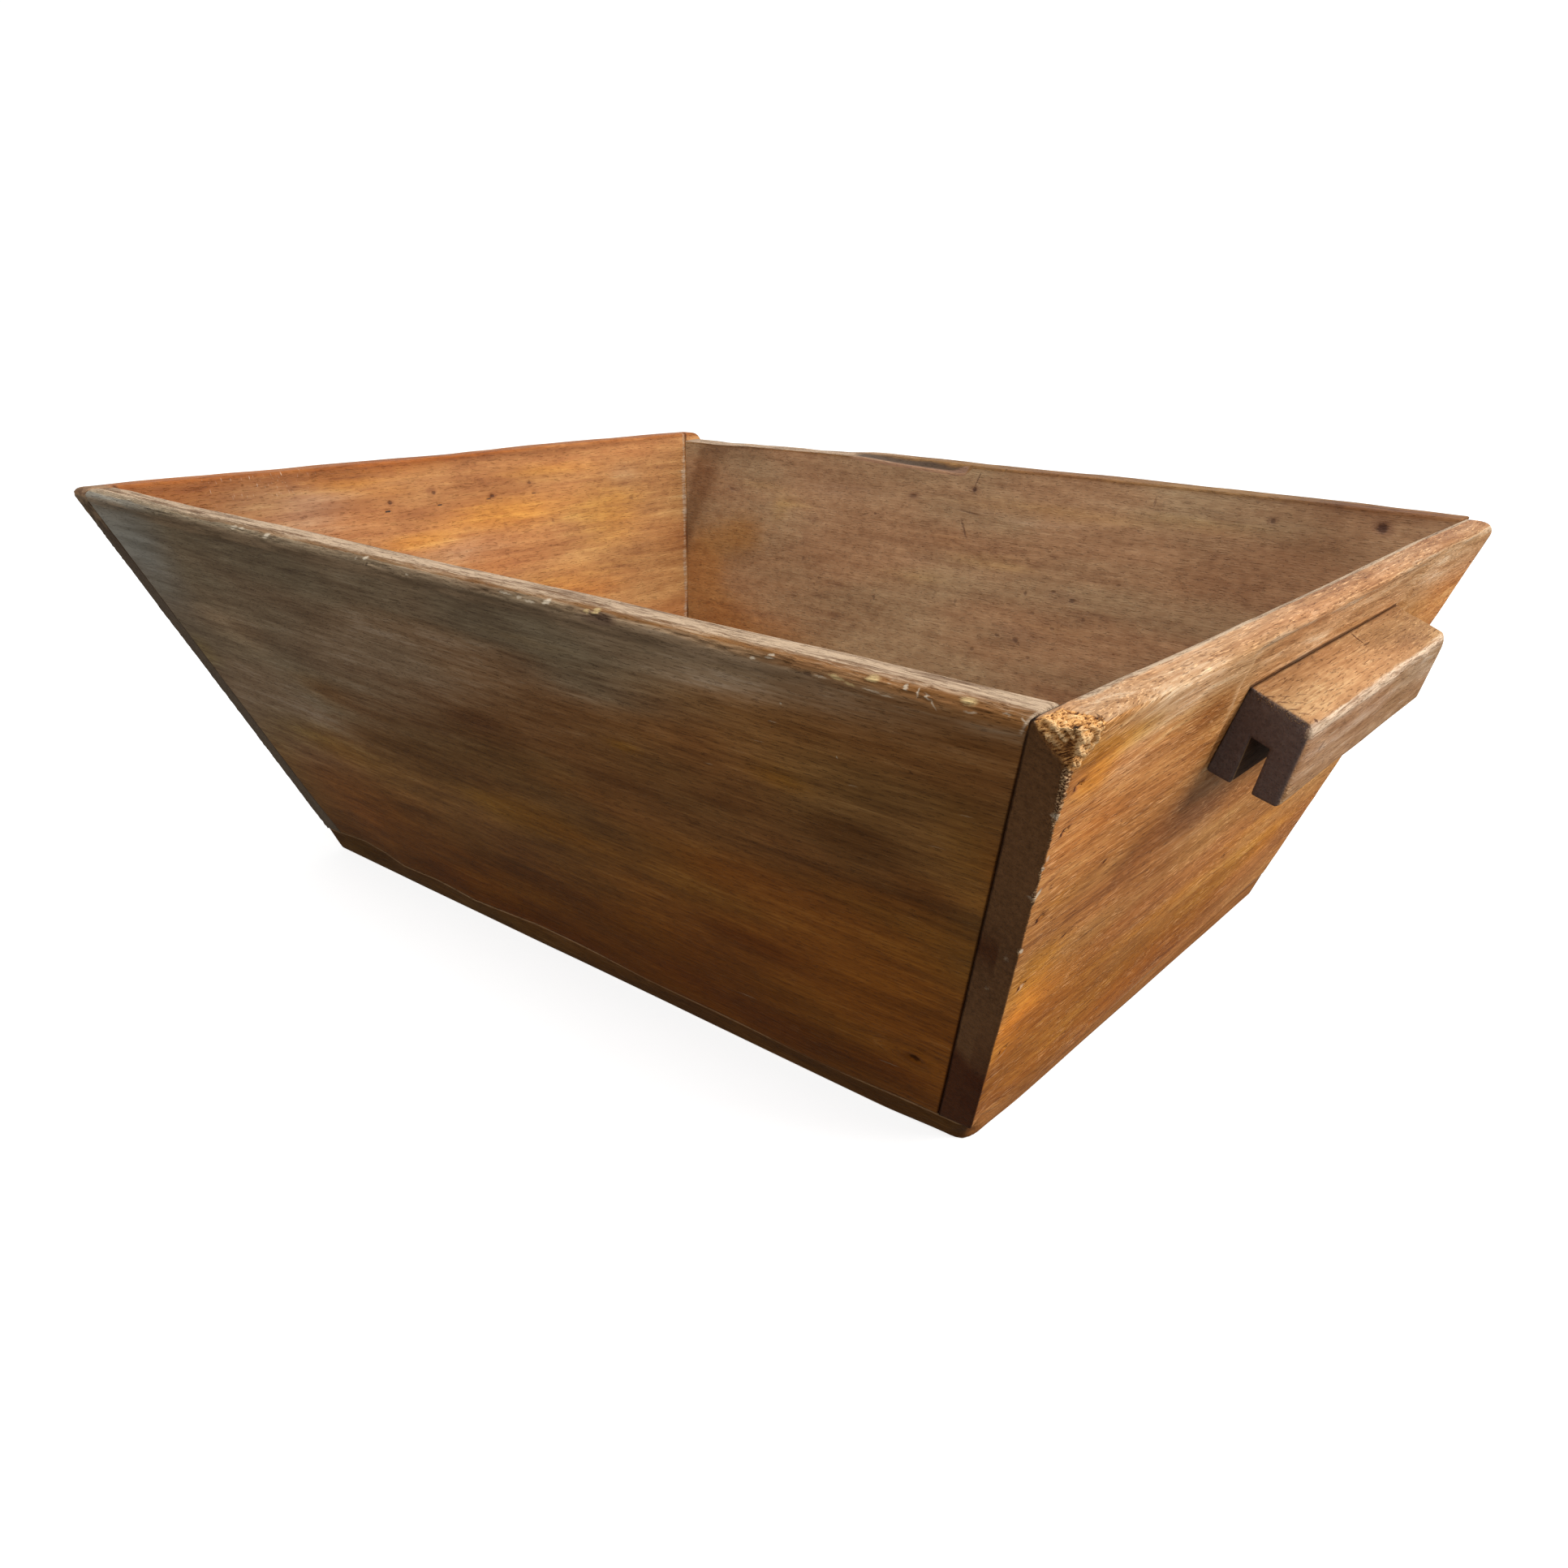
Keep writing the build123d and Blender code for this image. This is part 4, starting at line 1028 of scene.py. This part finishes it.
def knot_gold(net, plank, field, base):
    """The knot's golden wood: slanting fibres over a swirl, with painted shade in its clefts and a painted
    highlight on its lumps. Then a pale painted highlight on the sloping edge of the flat pared for the grip."""
    swirl = net.node("TexNoise", values={"Vector": plank, "Scale": 0.6, "Detail": 5.0, "Roughness": 0.7,
                                         "Distortion": 1.0})
    axes = ((0.0, 0.12, 0.10), (0.0, 0.85, -1.0), (0.5, 0.0, 0.0))
    slant = net.node("CombineXYZ", values={k: net.vector("DOT_PRODUCT", plank, axis, "Value")
                                           for k, axis in enumerate(axes)})
    fibres = net.node("TexNoise", values={"Vector": slant, "Scale": 1.0, "Detail": 3.0, "Roughness": 0.65})
    # the lump mark lightens the knot's raised parts: painted highlight
    level = net.mark("lump") * 0.28 + swirl * 0.42 + fibres * 0.62
    gold = net.ramp(level, KNOT_TONES, KNOT_PLACES)
    gold = net.colour("MULTIPLY", gold, (0.30, 0.20, 0.16), fibres.step(0.49, 0.38) * 0.85)
    edge = (net.mark("gnarl") * 1.4 + (swirl - 0.5) * 1.2).step(0.4, 0.65)
    base = net.colour("MIX", base, gold, edge)
    # painted shade: near black in the knot's hollows, and the dark seam
    base = net.colour("MIX", base, (0.030, 0.016, 0.010), net.mark("cleft").step(0.15, 0.8) * 0.9)
    # painted highlight: the pared flat's sloping edge made pale
    return (net.colour("MIX", base, (0.66, 0.41, 0.22), net.mark("shoulder") * 0.75),
            (swirl * 1.2 + fibres * 1.8) * net.mark("gnarl"))


def grey_sheen_corner(net, plank, field, base):
    """Grey painted over the front board's far top corner, streaked along its grain: a painted reflection of
    the sky.
    """
    streak = (field["wisp"] * 0.6 + field["cloud"] * 0.4).step(0.36, 0.62)
    grey = net.colour("MIX", (0.22, 0.215, 0.185), (0.40, 0.405, 0.37), streak)
    return net.colour("MIX", base, grey, net.mark("slate") * 0.85), 0.0


def split_wood(net, plank, field, base):
    """Painted shade on the slope of the split in the back rim, and a painted highlight on the edge under it.
    """
    base = net.colour("MIX", base, (0.06, 0.040, 0.028), net.mark("fracture").step(0.15, 0.8) * 0.85)
    return net.colour("MIX", base, (0.36, 0.20, 0.125), net.mark("split_edge").step(0.3, 0.8) * 0.6), 0.0


def golden_ends(net, plank, field, base):
    """The bottom board's ends, golden like the end boards over them, while the band tones along the sides are
    partly painted shade.
    """
    drawn = net.vector("MULTIPLY", plank, (0.15, 0.012, 0.25))
    streak = net.node("TexNoise", values={"Vector": drawn, "Scale": 1.0, "Detail": 4.0, "Roughness": 0.6})
    return net.colour("MIX", base, net.ramp(streak, RUST_TONES, RUST_PLACES), net.mark("golden")), 0.0


# Along the front rim's round-over: how far in its surface lies at each drop from the top, and the pale
# flecks on it as (u, d, length, width, turn, strength).
RIM_DEPTHS = ((2.7, 3.3, 4.5, 6.2, 8.2), (4.1, 2.4, 1.1, 0.3, 0))
RIM_FLECKS = (
    (-328, 2.7, 12.8, 1.53, 0, 0.75), (-312, 3.2, 5.6, 1.36, 0, 0.68), (-281, 3.1, 7.2, 1.53, 0, 0.68),
    (-232, 3.3, 12, 1.87, 0, 0.75), (-213, 3, 9.6, 1.53, 0, 0.68), (-182, 3.6, 6.4, 1.36, 0, 0.68),
    (-173, 3.4, 5.6, 1.19, 0, 0.6), (-143, 3.4, 5.6, 3.74, 0, 0.75), (-38, 3.3, 3.2, 1.7, 0, 0.75),
    (-46, 4, 2, 1.02, 0, 0.45), (2, 6.2, 2.8, 1.53, 0, 0.6), (86, 3.6, 8.8, 1.02, 0, 0.52),
    (97, 3.9, 4, 0.85, 0, 0.45), (106, 4.2, 6.4, 1.02, 0, 0.52), (117.5, 3.2, 4, 1.53, 0, 0.68),
    (252.5, 5.4, 3.2, 1.19, 0, 0.68), (262, 3.6, 3.6, 1.36, 0, 0.68), (290, 6, 5.6, 0.85, 0, 0.38),
    (321, 2.6, 5.6, 1.7, 14, 0.75), (329, 3, 5.6, 1.53, 24, 0.75), (336.5, 3.8, 3.2, 1.53, 70, 0.68),
    (341, 5, 4.8, 1.36, 20, 0.6), (345, 6.6, 4, 1.02, 40, 0.45), (316, 6.9, 7.2, 1.02, 4, 0.52),
    (323, 7.6, 4.8, 0.85, 0, 0.45), (362, 6.2, 4.8, 0.85, 0, 0.38), (377, 4.6, 4, 0.85, 0, 0.6),
    (384, 5.2, 3.2, 0.77, 10, 0.52), (391, 3, 4, 1.02, 0, 0.52))

# ---------------------------------------------------------------- the pieces
def dress(name, node, slot, form, *plain, **look):
    """Makes a piece of wood from its form's points, faces and marks, with its own material, and sets it
    in the frame."""
    material = wood(name.removesuffix("_block") + "_wood", *plain, **look)
    set_in_frame(make_piece(name, *form[:2], material, form[2]), node)


corner_slots = corner_nail_places(RIGHT)
dress("right_end", "right_end_board", "end_wood", right_end(), RIGHT, (13, 40, 5), GOLDEN_TONES,
    ORANGE_TONES, weights=(0.50, 0.50, 0.66, 0.15), dashes=(0.7, 1.2), bare=(0.50, 0.37, 0.25), gloss=0.08,
    extra=knot_gold,
    halo=[(u, d, 10, 3.8, -34, 1.0) for u, d in corner_slots] + [(-204, 105, 9, 4, -20, 0.6),
        (-209, 147, 9, 4, -20, 0.6), (30, 200, 8, 4, 0, 0.5), (-150, 60, 60, 5, -3, 0.35),
        (-262, 90, 22, 4, -20, 0.5)],
    dark=[(u - 1.2, d + 0.8, 5.0, 2.2, -34, 0.95) for u, d in corner_slots]
        + [(-203, 105, 3, 1.6, -20, 0.9), (-209, 147, 4, 1.6, -20, 0.9), (-77.5, 281.2, 9, 1.6, -8, 0.9),
        (-32.5, 278.4, 7, 1.4, -14, 0.8), (30, 200, 3.5, 1.6, 0, 0.8), (-284, 3, 1.2, 8, 20, 0.7)],
    light=[(-100, 284, 26, 1.0, -4, 0.35), (-119, 267, 22, 0.8, -6, 0.3), (-212, 225, 9, 1.2, -30, 0.4),
        (-233, 168, 9, 1.2, -30, 0.4), (-276, 72, 4, 2.4, 60, 0.5), (-287, 47, 4, 2.2, 50, 0.7),
        (-275, 78, 3, 2.0, 60, 0.7), (-268, 94.5, 3.2, 6, 30, 0.9), (-254.5, 133, 5, 2.6, 40, 0.8)],
    dents=[(u, d, 3.4, 3.4, 0, 0.8) for u, d in grip_nail_places(1)],
    smudges=[(u, d, 9, 7, 0, 0.6) for u, d in grip_nail_places(1)] + [(-190, 70, 12, 6, 0, 0.4),
        (110, 120, 9, 7, 0, 0.4), (200, 60, 7, 5, 0, 0.5)])

dress("left_end", "left_end_board", "end_wood", left_end(), LEFT, (-213, 90, 15), GOLDEN_TONES,
    ORANGE_TONES, weights=(0.5, 0.5, 0.25, 0.25), dashes=(0.3, 0.12),
    end_tones=((0.090, 0.064, 0.042), (0.165, 0.122, 0.082)),
    halo=[(u, d, 9, 3.6, 0, 0.7) for u, d in corner_nail_places(LEFT)],
    dark=[(u, d, 3.6, 1.8, 0, 0.9) for u, d in corner_nail_places(LEFT)],
    dents=[(-74.4, 43.3, 4.2, 3.6, 0, 0.75), (-31.3, 39.3, 5, 3.4, 0, 0.75),
        (26.1, 48.3, 4.6, 3.6, 0, 0.85), (69.2, 40.4, 4.6, 3, 0, 0.65), (184, 67.7, 5, 3, 0, 0.45),
        (83, 78.3, 2, 4, 0, 0.4)],
    smudges=[(-74.4, 43.3, 9, 7, 0, 0.6), (-33, 38, 12, 8, 0, 0.7), (26.1, 48.3, 10, 7, 0, 0.7),
        (71, 41, 12, 6, 0, 0.6), (184, 67, 12, 6, 0, 0.5), (153.6, 39.3, 9, 6, 0, 0.6),
        (23, 63, 11, 5, 0, 0.5), (-8, 75, 12, 6, 0, 0.45), (31, 78, 5, 12, 0, 0.4),
        (-152, 22, 14, 6, 0, 0.5), (83, 78, 5, 8, 0, 0.4), (230, 110, 8, 18, 0, 0.4)])

dress("front_side", "front_board", "side_wood", front_side(), FRONT, (50, -40, 25), NUT_AND_SHADE_TONES, UMBER_TONES,
    weights=(0.42, 0.30, 0.42, 0.08), dashes=(0.3, 0.22), pale=(0.17, 0.105, 0.05), gloss=0.05,
    extra=grey_sheen_corner, bare=(0.51, 0.375, 0.255), bare_dark=(0.17, 0.105, 0.065),
    dark=[(*FRONT_KNOT, 7, 3.4, 0, 0.85), (157, 4, 14, 2.6, 6, 0.6), (326, 45, 2, 1.6, 0, 0.5),
        (283, 6.5, 5, 2, 0, 0.6), (-35, 5.5, 2, 2, 0, 0.5)],
    halo=[(*FRONT_KNOT, 24, 11, 0, 0.5), (155, 5, 24, 6, 0, 0.5)],
    light=[(x, y, 1.25 * length, 0.85 * width, turn, strength, float(np.interp(y, *RIM_DEPTHS)))
        for x, y, length, width, turn, strength in RIM_FLECKS] + [(253.8, 37.8, 6, 0.7, -4, 0.30),
        (199.8, 76.9, 6, 0.7, -4, 0.25), (291.4, 62.3, 6, 0.6, -4, 0.30), (262.4, 26.1, 1.4, 1.3, 0, 0.8),
        (287, 48, 1.2, 1.3, 0, 0.7), (240, 52, 9, 0.6, -4, 0.2), (330, 84, 10, 0.6, -4, 0.2),
        (160, 258, 16, 0.7, -4, 0.25), (260, 262, 14, 0.7, -3, 0.25), (350, 60, 8, 0.6, -4, 0.2),
        (70, 60, 8, 0.7, -4, 0.2), (-120, 90, 9, 0.7, -4, 0.2)],
    cream=[(359, 2.8, 9, 4.0, 4, 0.9, 3.8), (315, 3.0, 7, 2.0, 0, 0.8, 3.2),
        (298, 5.1, 8, 1.4, 6, 0.8, 0.8), (305, 6.4, 6, 1.2, 6, 0.6, 0.3), (152, 2.8, 5, 1.4, 0, 0.8, 3.8),
        (146, 3.4, 4, 1.2, 0, 0.7, 2.3)],
    dents=[(-200, 60, 5, 3, 0, 0.5), (120, 110, 4, 4, 0, 0.5), (260, 40, 6, 3, 0, 0.5)],
    smudges=[(-200, 60, 14, 7, 0, 0.4), (0, 150, 30, 12, 0, 0.4), (120, 110, 10, 8, 0, 0.5),
        (-90, 200, 40, 14, 0, 0.4)])

dress("back_side", "back_board", "side_wood", back_side(), BACK, (450, 140, 35), NUT_AND_SHADE_TONES, UMBER_TONES,
    weights=(0.40, 0.32, 0.16, 0.34), dashes=(0.3, 0.06), extra=split_wood, gloss=0.14,
    dents=[(-17, 31, 5.5, 5, -30, 0.85), (-16, 22, 2, 16, 12, 0.55), (-17, 52, 30, 1.8, 6, 0.5),
        (-18.5, 67, 2.2, 22, -32, 0.6), (-119, 65, 3.5, 2.6, 0, 0.7), (-130.5, 67, 8, 1.6, -20, 0.5),
        (-80.4, 43.5, 9, 3.4, 0, 0.5), (-97.3, 141.6, 3.4, 5, 0, 0.5), (-191, 118, 4, 5, 0, 0.35),
        (-303.6, 60.8, 9, 3, 10, 0.5), (-9, 132, 3, 5, 0, 0.4), (85, 109, 5, 3, 0, 0.6),
        (58.7, 114.4, 3.4, 4.4, 0, 0.6), (59.7, 155, 7, 5, 0, 0.65), (40.8, 154, 6, 3.4, 0, 0.6),
        (104, 114, 6, 3.6, 0, 0.65), (9.7, 8, 2, 14, 0, 0.45), (156, 23.4, 2.4, 10, 0, 0.4),
        (255.6, 27.1, 4.4, 4.4, 0, 0.6), (337, 22.4, 9, 8, 20, 0.85), (70, 130, 4, 3, 0, 0.45),
        (30, 128, 3, 3, 0, 0.4), (92, 140, 5, 3, 0, 0.5), (118, 128, 4, 5, 0, 0.45),
        (76, 168, 5, 3, 0, 0.5), (20, 170, 4, 4, 0, 0.4), (142, 95, 5, 3, 0, 0.4)],
    smudges=[(-17, 31, 12, 9, 0, 0.6), (-80, 43.5, 18, 8, 0, 0.6), (-191, 78, 16, 9, 0, 0.4),
        (-194.6, 95, 8, 20, 0, 0.35), (-303, 60, 26, 8, 10, 0.45), (337, 22, 20, 14, 20, 0.8),
        (60, 150, 50, 24, 0, 0.4), (96, 112, 40, 14, 0, 0.35), (255, 27, 10, 9, 0, 0.5),
        (-60, 100, 40, 10, 0, 0.3)],
    dark=[(-120, 80, 4, 2, 0, 0.6), (200, 150, 5, 2, 0, 0.6)],
    light=[(40, 60, 14, 0.9, -4, 0.4), (-220, 170, 18, 0.9, 3, 0.4), (260, 210, 10, 0.9, -6, 0.4)])

dress("bottom", "bottom_board", "bottom_wood", bottom_board(), None, (77, 31, 9), BAND_AND_SHADE_TONES, UMBER_TONES,
    dashes=(0.35, 0.15), weights=(0.4, 0.3, 0.3, 0.1), gloss=0.04, extra=golden_ends)

for end, name in ((1, "right_grip"), (-1, "left_grip")):
    wall = RIGHT if end > 0 else LEFT
    dress(f"{name}_block", name, "grip_wood", grip_block(end), wall, (31 * end, 60, 12), GRIP_TONES,
        weights=(0.45, 0.45, 0.5, 0.25), dashes=(0.6, 0.6), outside=-37,
        end_tones=((0.102, 0.070, 0.063), (0.155, 0.116, 0.105)), bare=(0.74, 0.56, 0.40),
        bare_dark=(0.38, 0.24, 0.15),
        dark=[(-82.6, 54.7, 8, 1.4, -50, 0.8), (23.5, 39.5, 3, 3, 0, 0.6), (-20, 42, 6, 1.2, 0, 0.5),
            (60, 44, 5, 1.2, 10, 0.5)],
        halo=[(20, 88, 60, 8, 0, 0.4), (-60, 80, 40, 6, 0, 0.3)],
        ticks=[(29, 5, 1.6, 12, 20, 0.9), (28.5, 10.5, 10, 1.2, 0, 0.8), (-103, 31, 3, 2.4, 0, 0.9),
            (-108, 8, 7, 1.2, 24, 0.7), (-106, 14, 8, 1.2, 28, 0.7), (-107, 20, 9, 1.3, 24, 0.7),
            (-104, 25, 7, 1.2, 28, 0.6), (-98, 12, 8, 1.0, 26, 0.5), (-95, 19, 9, 1.0, 24, 0.5),
            (-90, 26, 7, 1.0, 26, 0.4), (-84, 16, 8, 1.0, 22, 0.4), (-60, 22, 10, 1.0, 14, 0.35),
            (-30, 14, 9, 1.0, 10, 0.35), (60, 20, 10, 1.0, 12, 0.35), (90, 12, 8, 1.0, 10, 0.35)],
        light=[(-70, 50, 16, 1.2, -6, 0.4), (10, 60, 22, 1.0, -4, 0.35), (70, 70, 14, 1.0, 4, 0.35)])


def nail_iron():
    """Old cut nails: nearly black iron with brown rust in its pits."""
    net = Net(bpy.data.materials.new("nail_iron"))
    place = net.node("TexCoord", output="Object")
    rust = net.node("TexNoise", values={"Vector": place, "Scale": 900.0, "Detail": 3.0})
    fine = net.node("TexNoise", values={"Vector": place, "Scale": 3000.0, "Detail": 2.0})
    colour = net.colour("MIX", (0.028, 0.024, 0.022), (0.085, 0.040, 0.020), rust.step(0.45, 0.65))
    return net.finish(colour, 0.5 + rust * 0.35, rust + fine * 0.4, 0.0002, Metallic=0.6)


iron = nail_iron()
for node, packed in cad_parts.items():
    if node.endswith("_nails"):
        packed.data.materials.clear()
        packed.data.materials.append(iron)


# ---------------------------------------------------------------- studio
SENSOR_WIDTH, FOCAL_LENGTH, LENS_SHIFT = 36, 29.327, (-0.0685, -0.0601)
CAMERA_PLACE = (0.60737, -0.67931, 0.42765)
CAMERA_TURN = (1.78779, 0.61569, -0.42649)  # its length is the angle, in radians, its way the axis
FLOOR_HALF, FLOOR_GLOW = 20.0, 0.80
SKY_GLOW = 1.05


def stand_camera():
    """The camera stands off the near right corner, a little above the rim, and looks down at it."""
    lens = bpy.data.cameras.new("camera")
    lens.sensor_width, lens.lens = SENSOR_WIDTH, FOCAL_LENGTH
    lens.shift_x, lens.shift_y = LENS_SHIFT
    turn = Vector(CAMERA_TURN)
    right, down, ahead = Matrix.Rotation(turn.length, 3, turn.normalized())
    turned = Matrix((right, -down, -ahead)).transposed().to_4x4()
    camera = put("camera", lens)
    camera.matrix_world = Matrix.Translation(CAMERA_PLACE) @ turned
    bpy.context.scene.camera = camera


def hang_light(name, place, target, size, power, colour=(1, 1, 1)):
    """A square soft box at a place, turned to a target."""
    lamp = bpy.data.lights.new(name, "AREA")
    lamp.shape, lamp.size, lamp.energy, lamp.color = "SQUARE", size, power, colour
    box = put(name, lamp)
    box.location = place
    box.rotation_mode = "QUATERNION"
    box.rotation_quaternion = (Vector(target) - Vector(place)).to_track_quat("-Z", "Y")


def lay_floor():
    """A wide plain pale floor, lit from within so that it is nearly white out of the light too."""
    net = Net(bpy.data.materials.new("floor_paper"))
    place = net.node("TexCoord", output="Object")
    mottle = net.node("TexNoise", values={"Vector": place, "Scale": 40.0, "Detail": 2.0})
    colour = net.colour("MIX", (0.50, 0.50, 0.50), (0.52, 0.52, 0.52), mottle)
    net.finish(colour, 0.9 + mottle * 0.05, mottle, 0.0001, **{
        "Specular IOR Level": 0.0, "Emission Color": (1, 1, 1, 1), "Emission Strength": FLOOR_GLOW})
    mesh = bpy.data.meshes.new("floor")
    corners = [(x * FLOOR_HALF, y * FLOOR_HALF, 0) for x, y in ((-1, -1), (1, -1), (1, 1), (-1, 1))]
    mesh.from_pydata(corners, [], [(0, 1, 2, 3)])
    mesh.materials.append(net.holder)
    floor = put("floor", mesh)
    floor.visible_diffuse = False
    floor.visible_glossy = False


def light_sky():
    """Plain light all round: white to look at, softer as a light, and dimmer and warmer from below."""
    net = Net(bpy.data.worlds.new("sky"))
    rising = net.part(net.node("TexCoord", output="Generated"), 2) * 0.5 + 0.5
    shade = net.ramp(rising, ((0.22, 0.19, 0.16), (0.66, 0.66, 0.66)), (0.40, 0.62))
    soft = net.node("Background", values={"Color": shade})
    white = net.node("Background", values={"Color": (1, 1, 1, 1), "Strength": SKY_GLOW})
    seen = net.node("LightPath", output="Is Camera Ray")
    both = net.node("MixShader", values={0: seen, 1: soft, 2: white})
    net.node("OutputWorld", values={"Surface": both}, output=None)
    bpy.context.scene.world = net.holder


stand_camera()
light_sky()
lay_floor()
hang_light("key_light", (2.6, 0.9, 1.3), target=(0.1, 0, 0.1), size=1.4, power=66, colour=(1.0, 0.98, 0.95))
hang_light("top_light", (0.0, 0.1, 2.7), target=(0, 0, 0.1), size=2.6, power=48)
bpy.context.scene.view_settings.view_transform = "Standard"
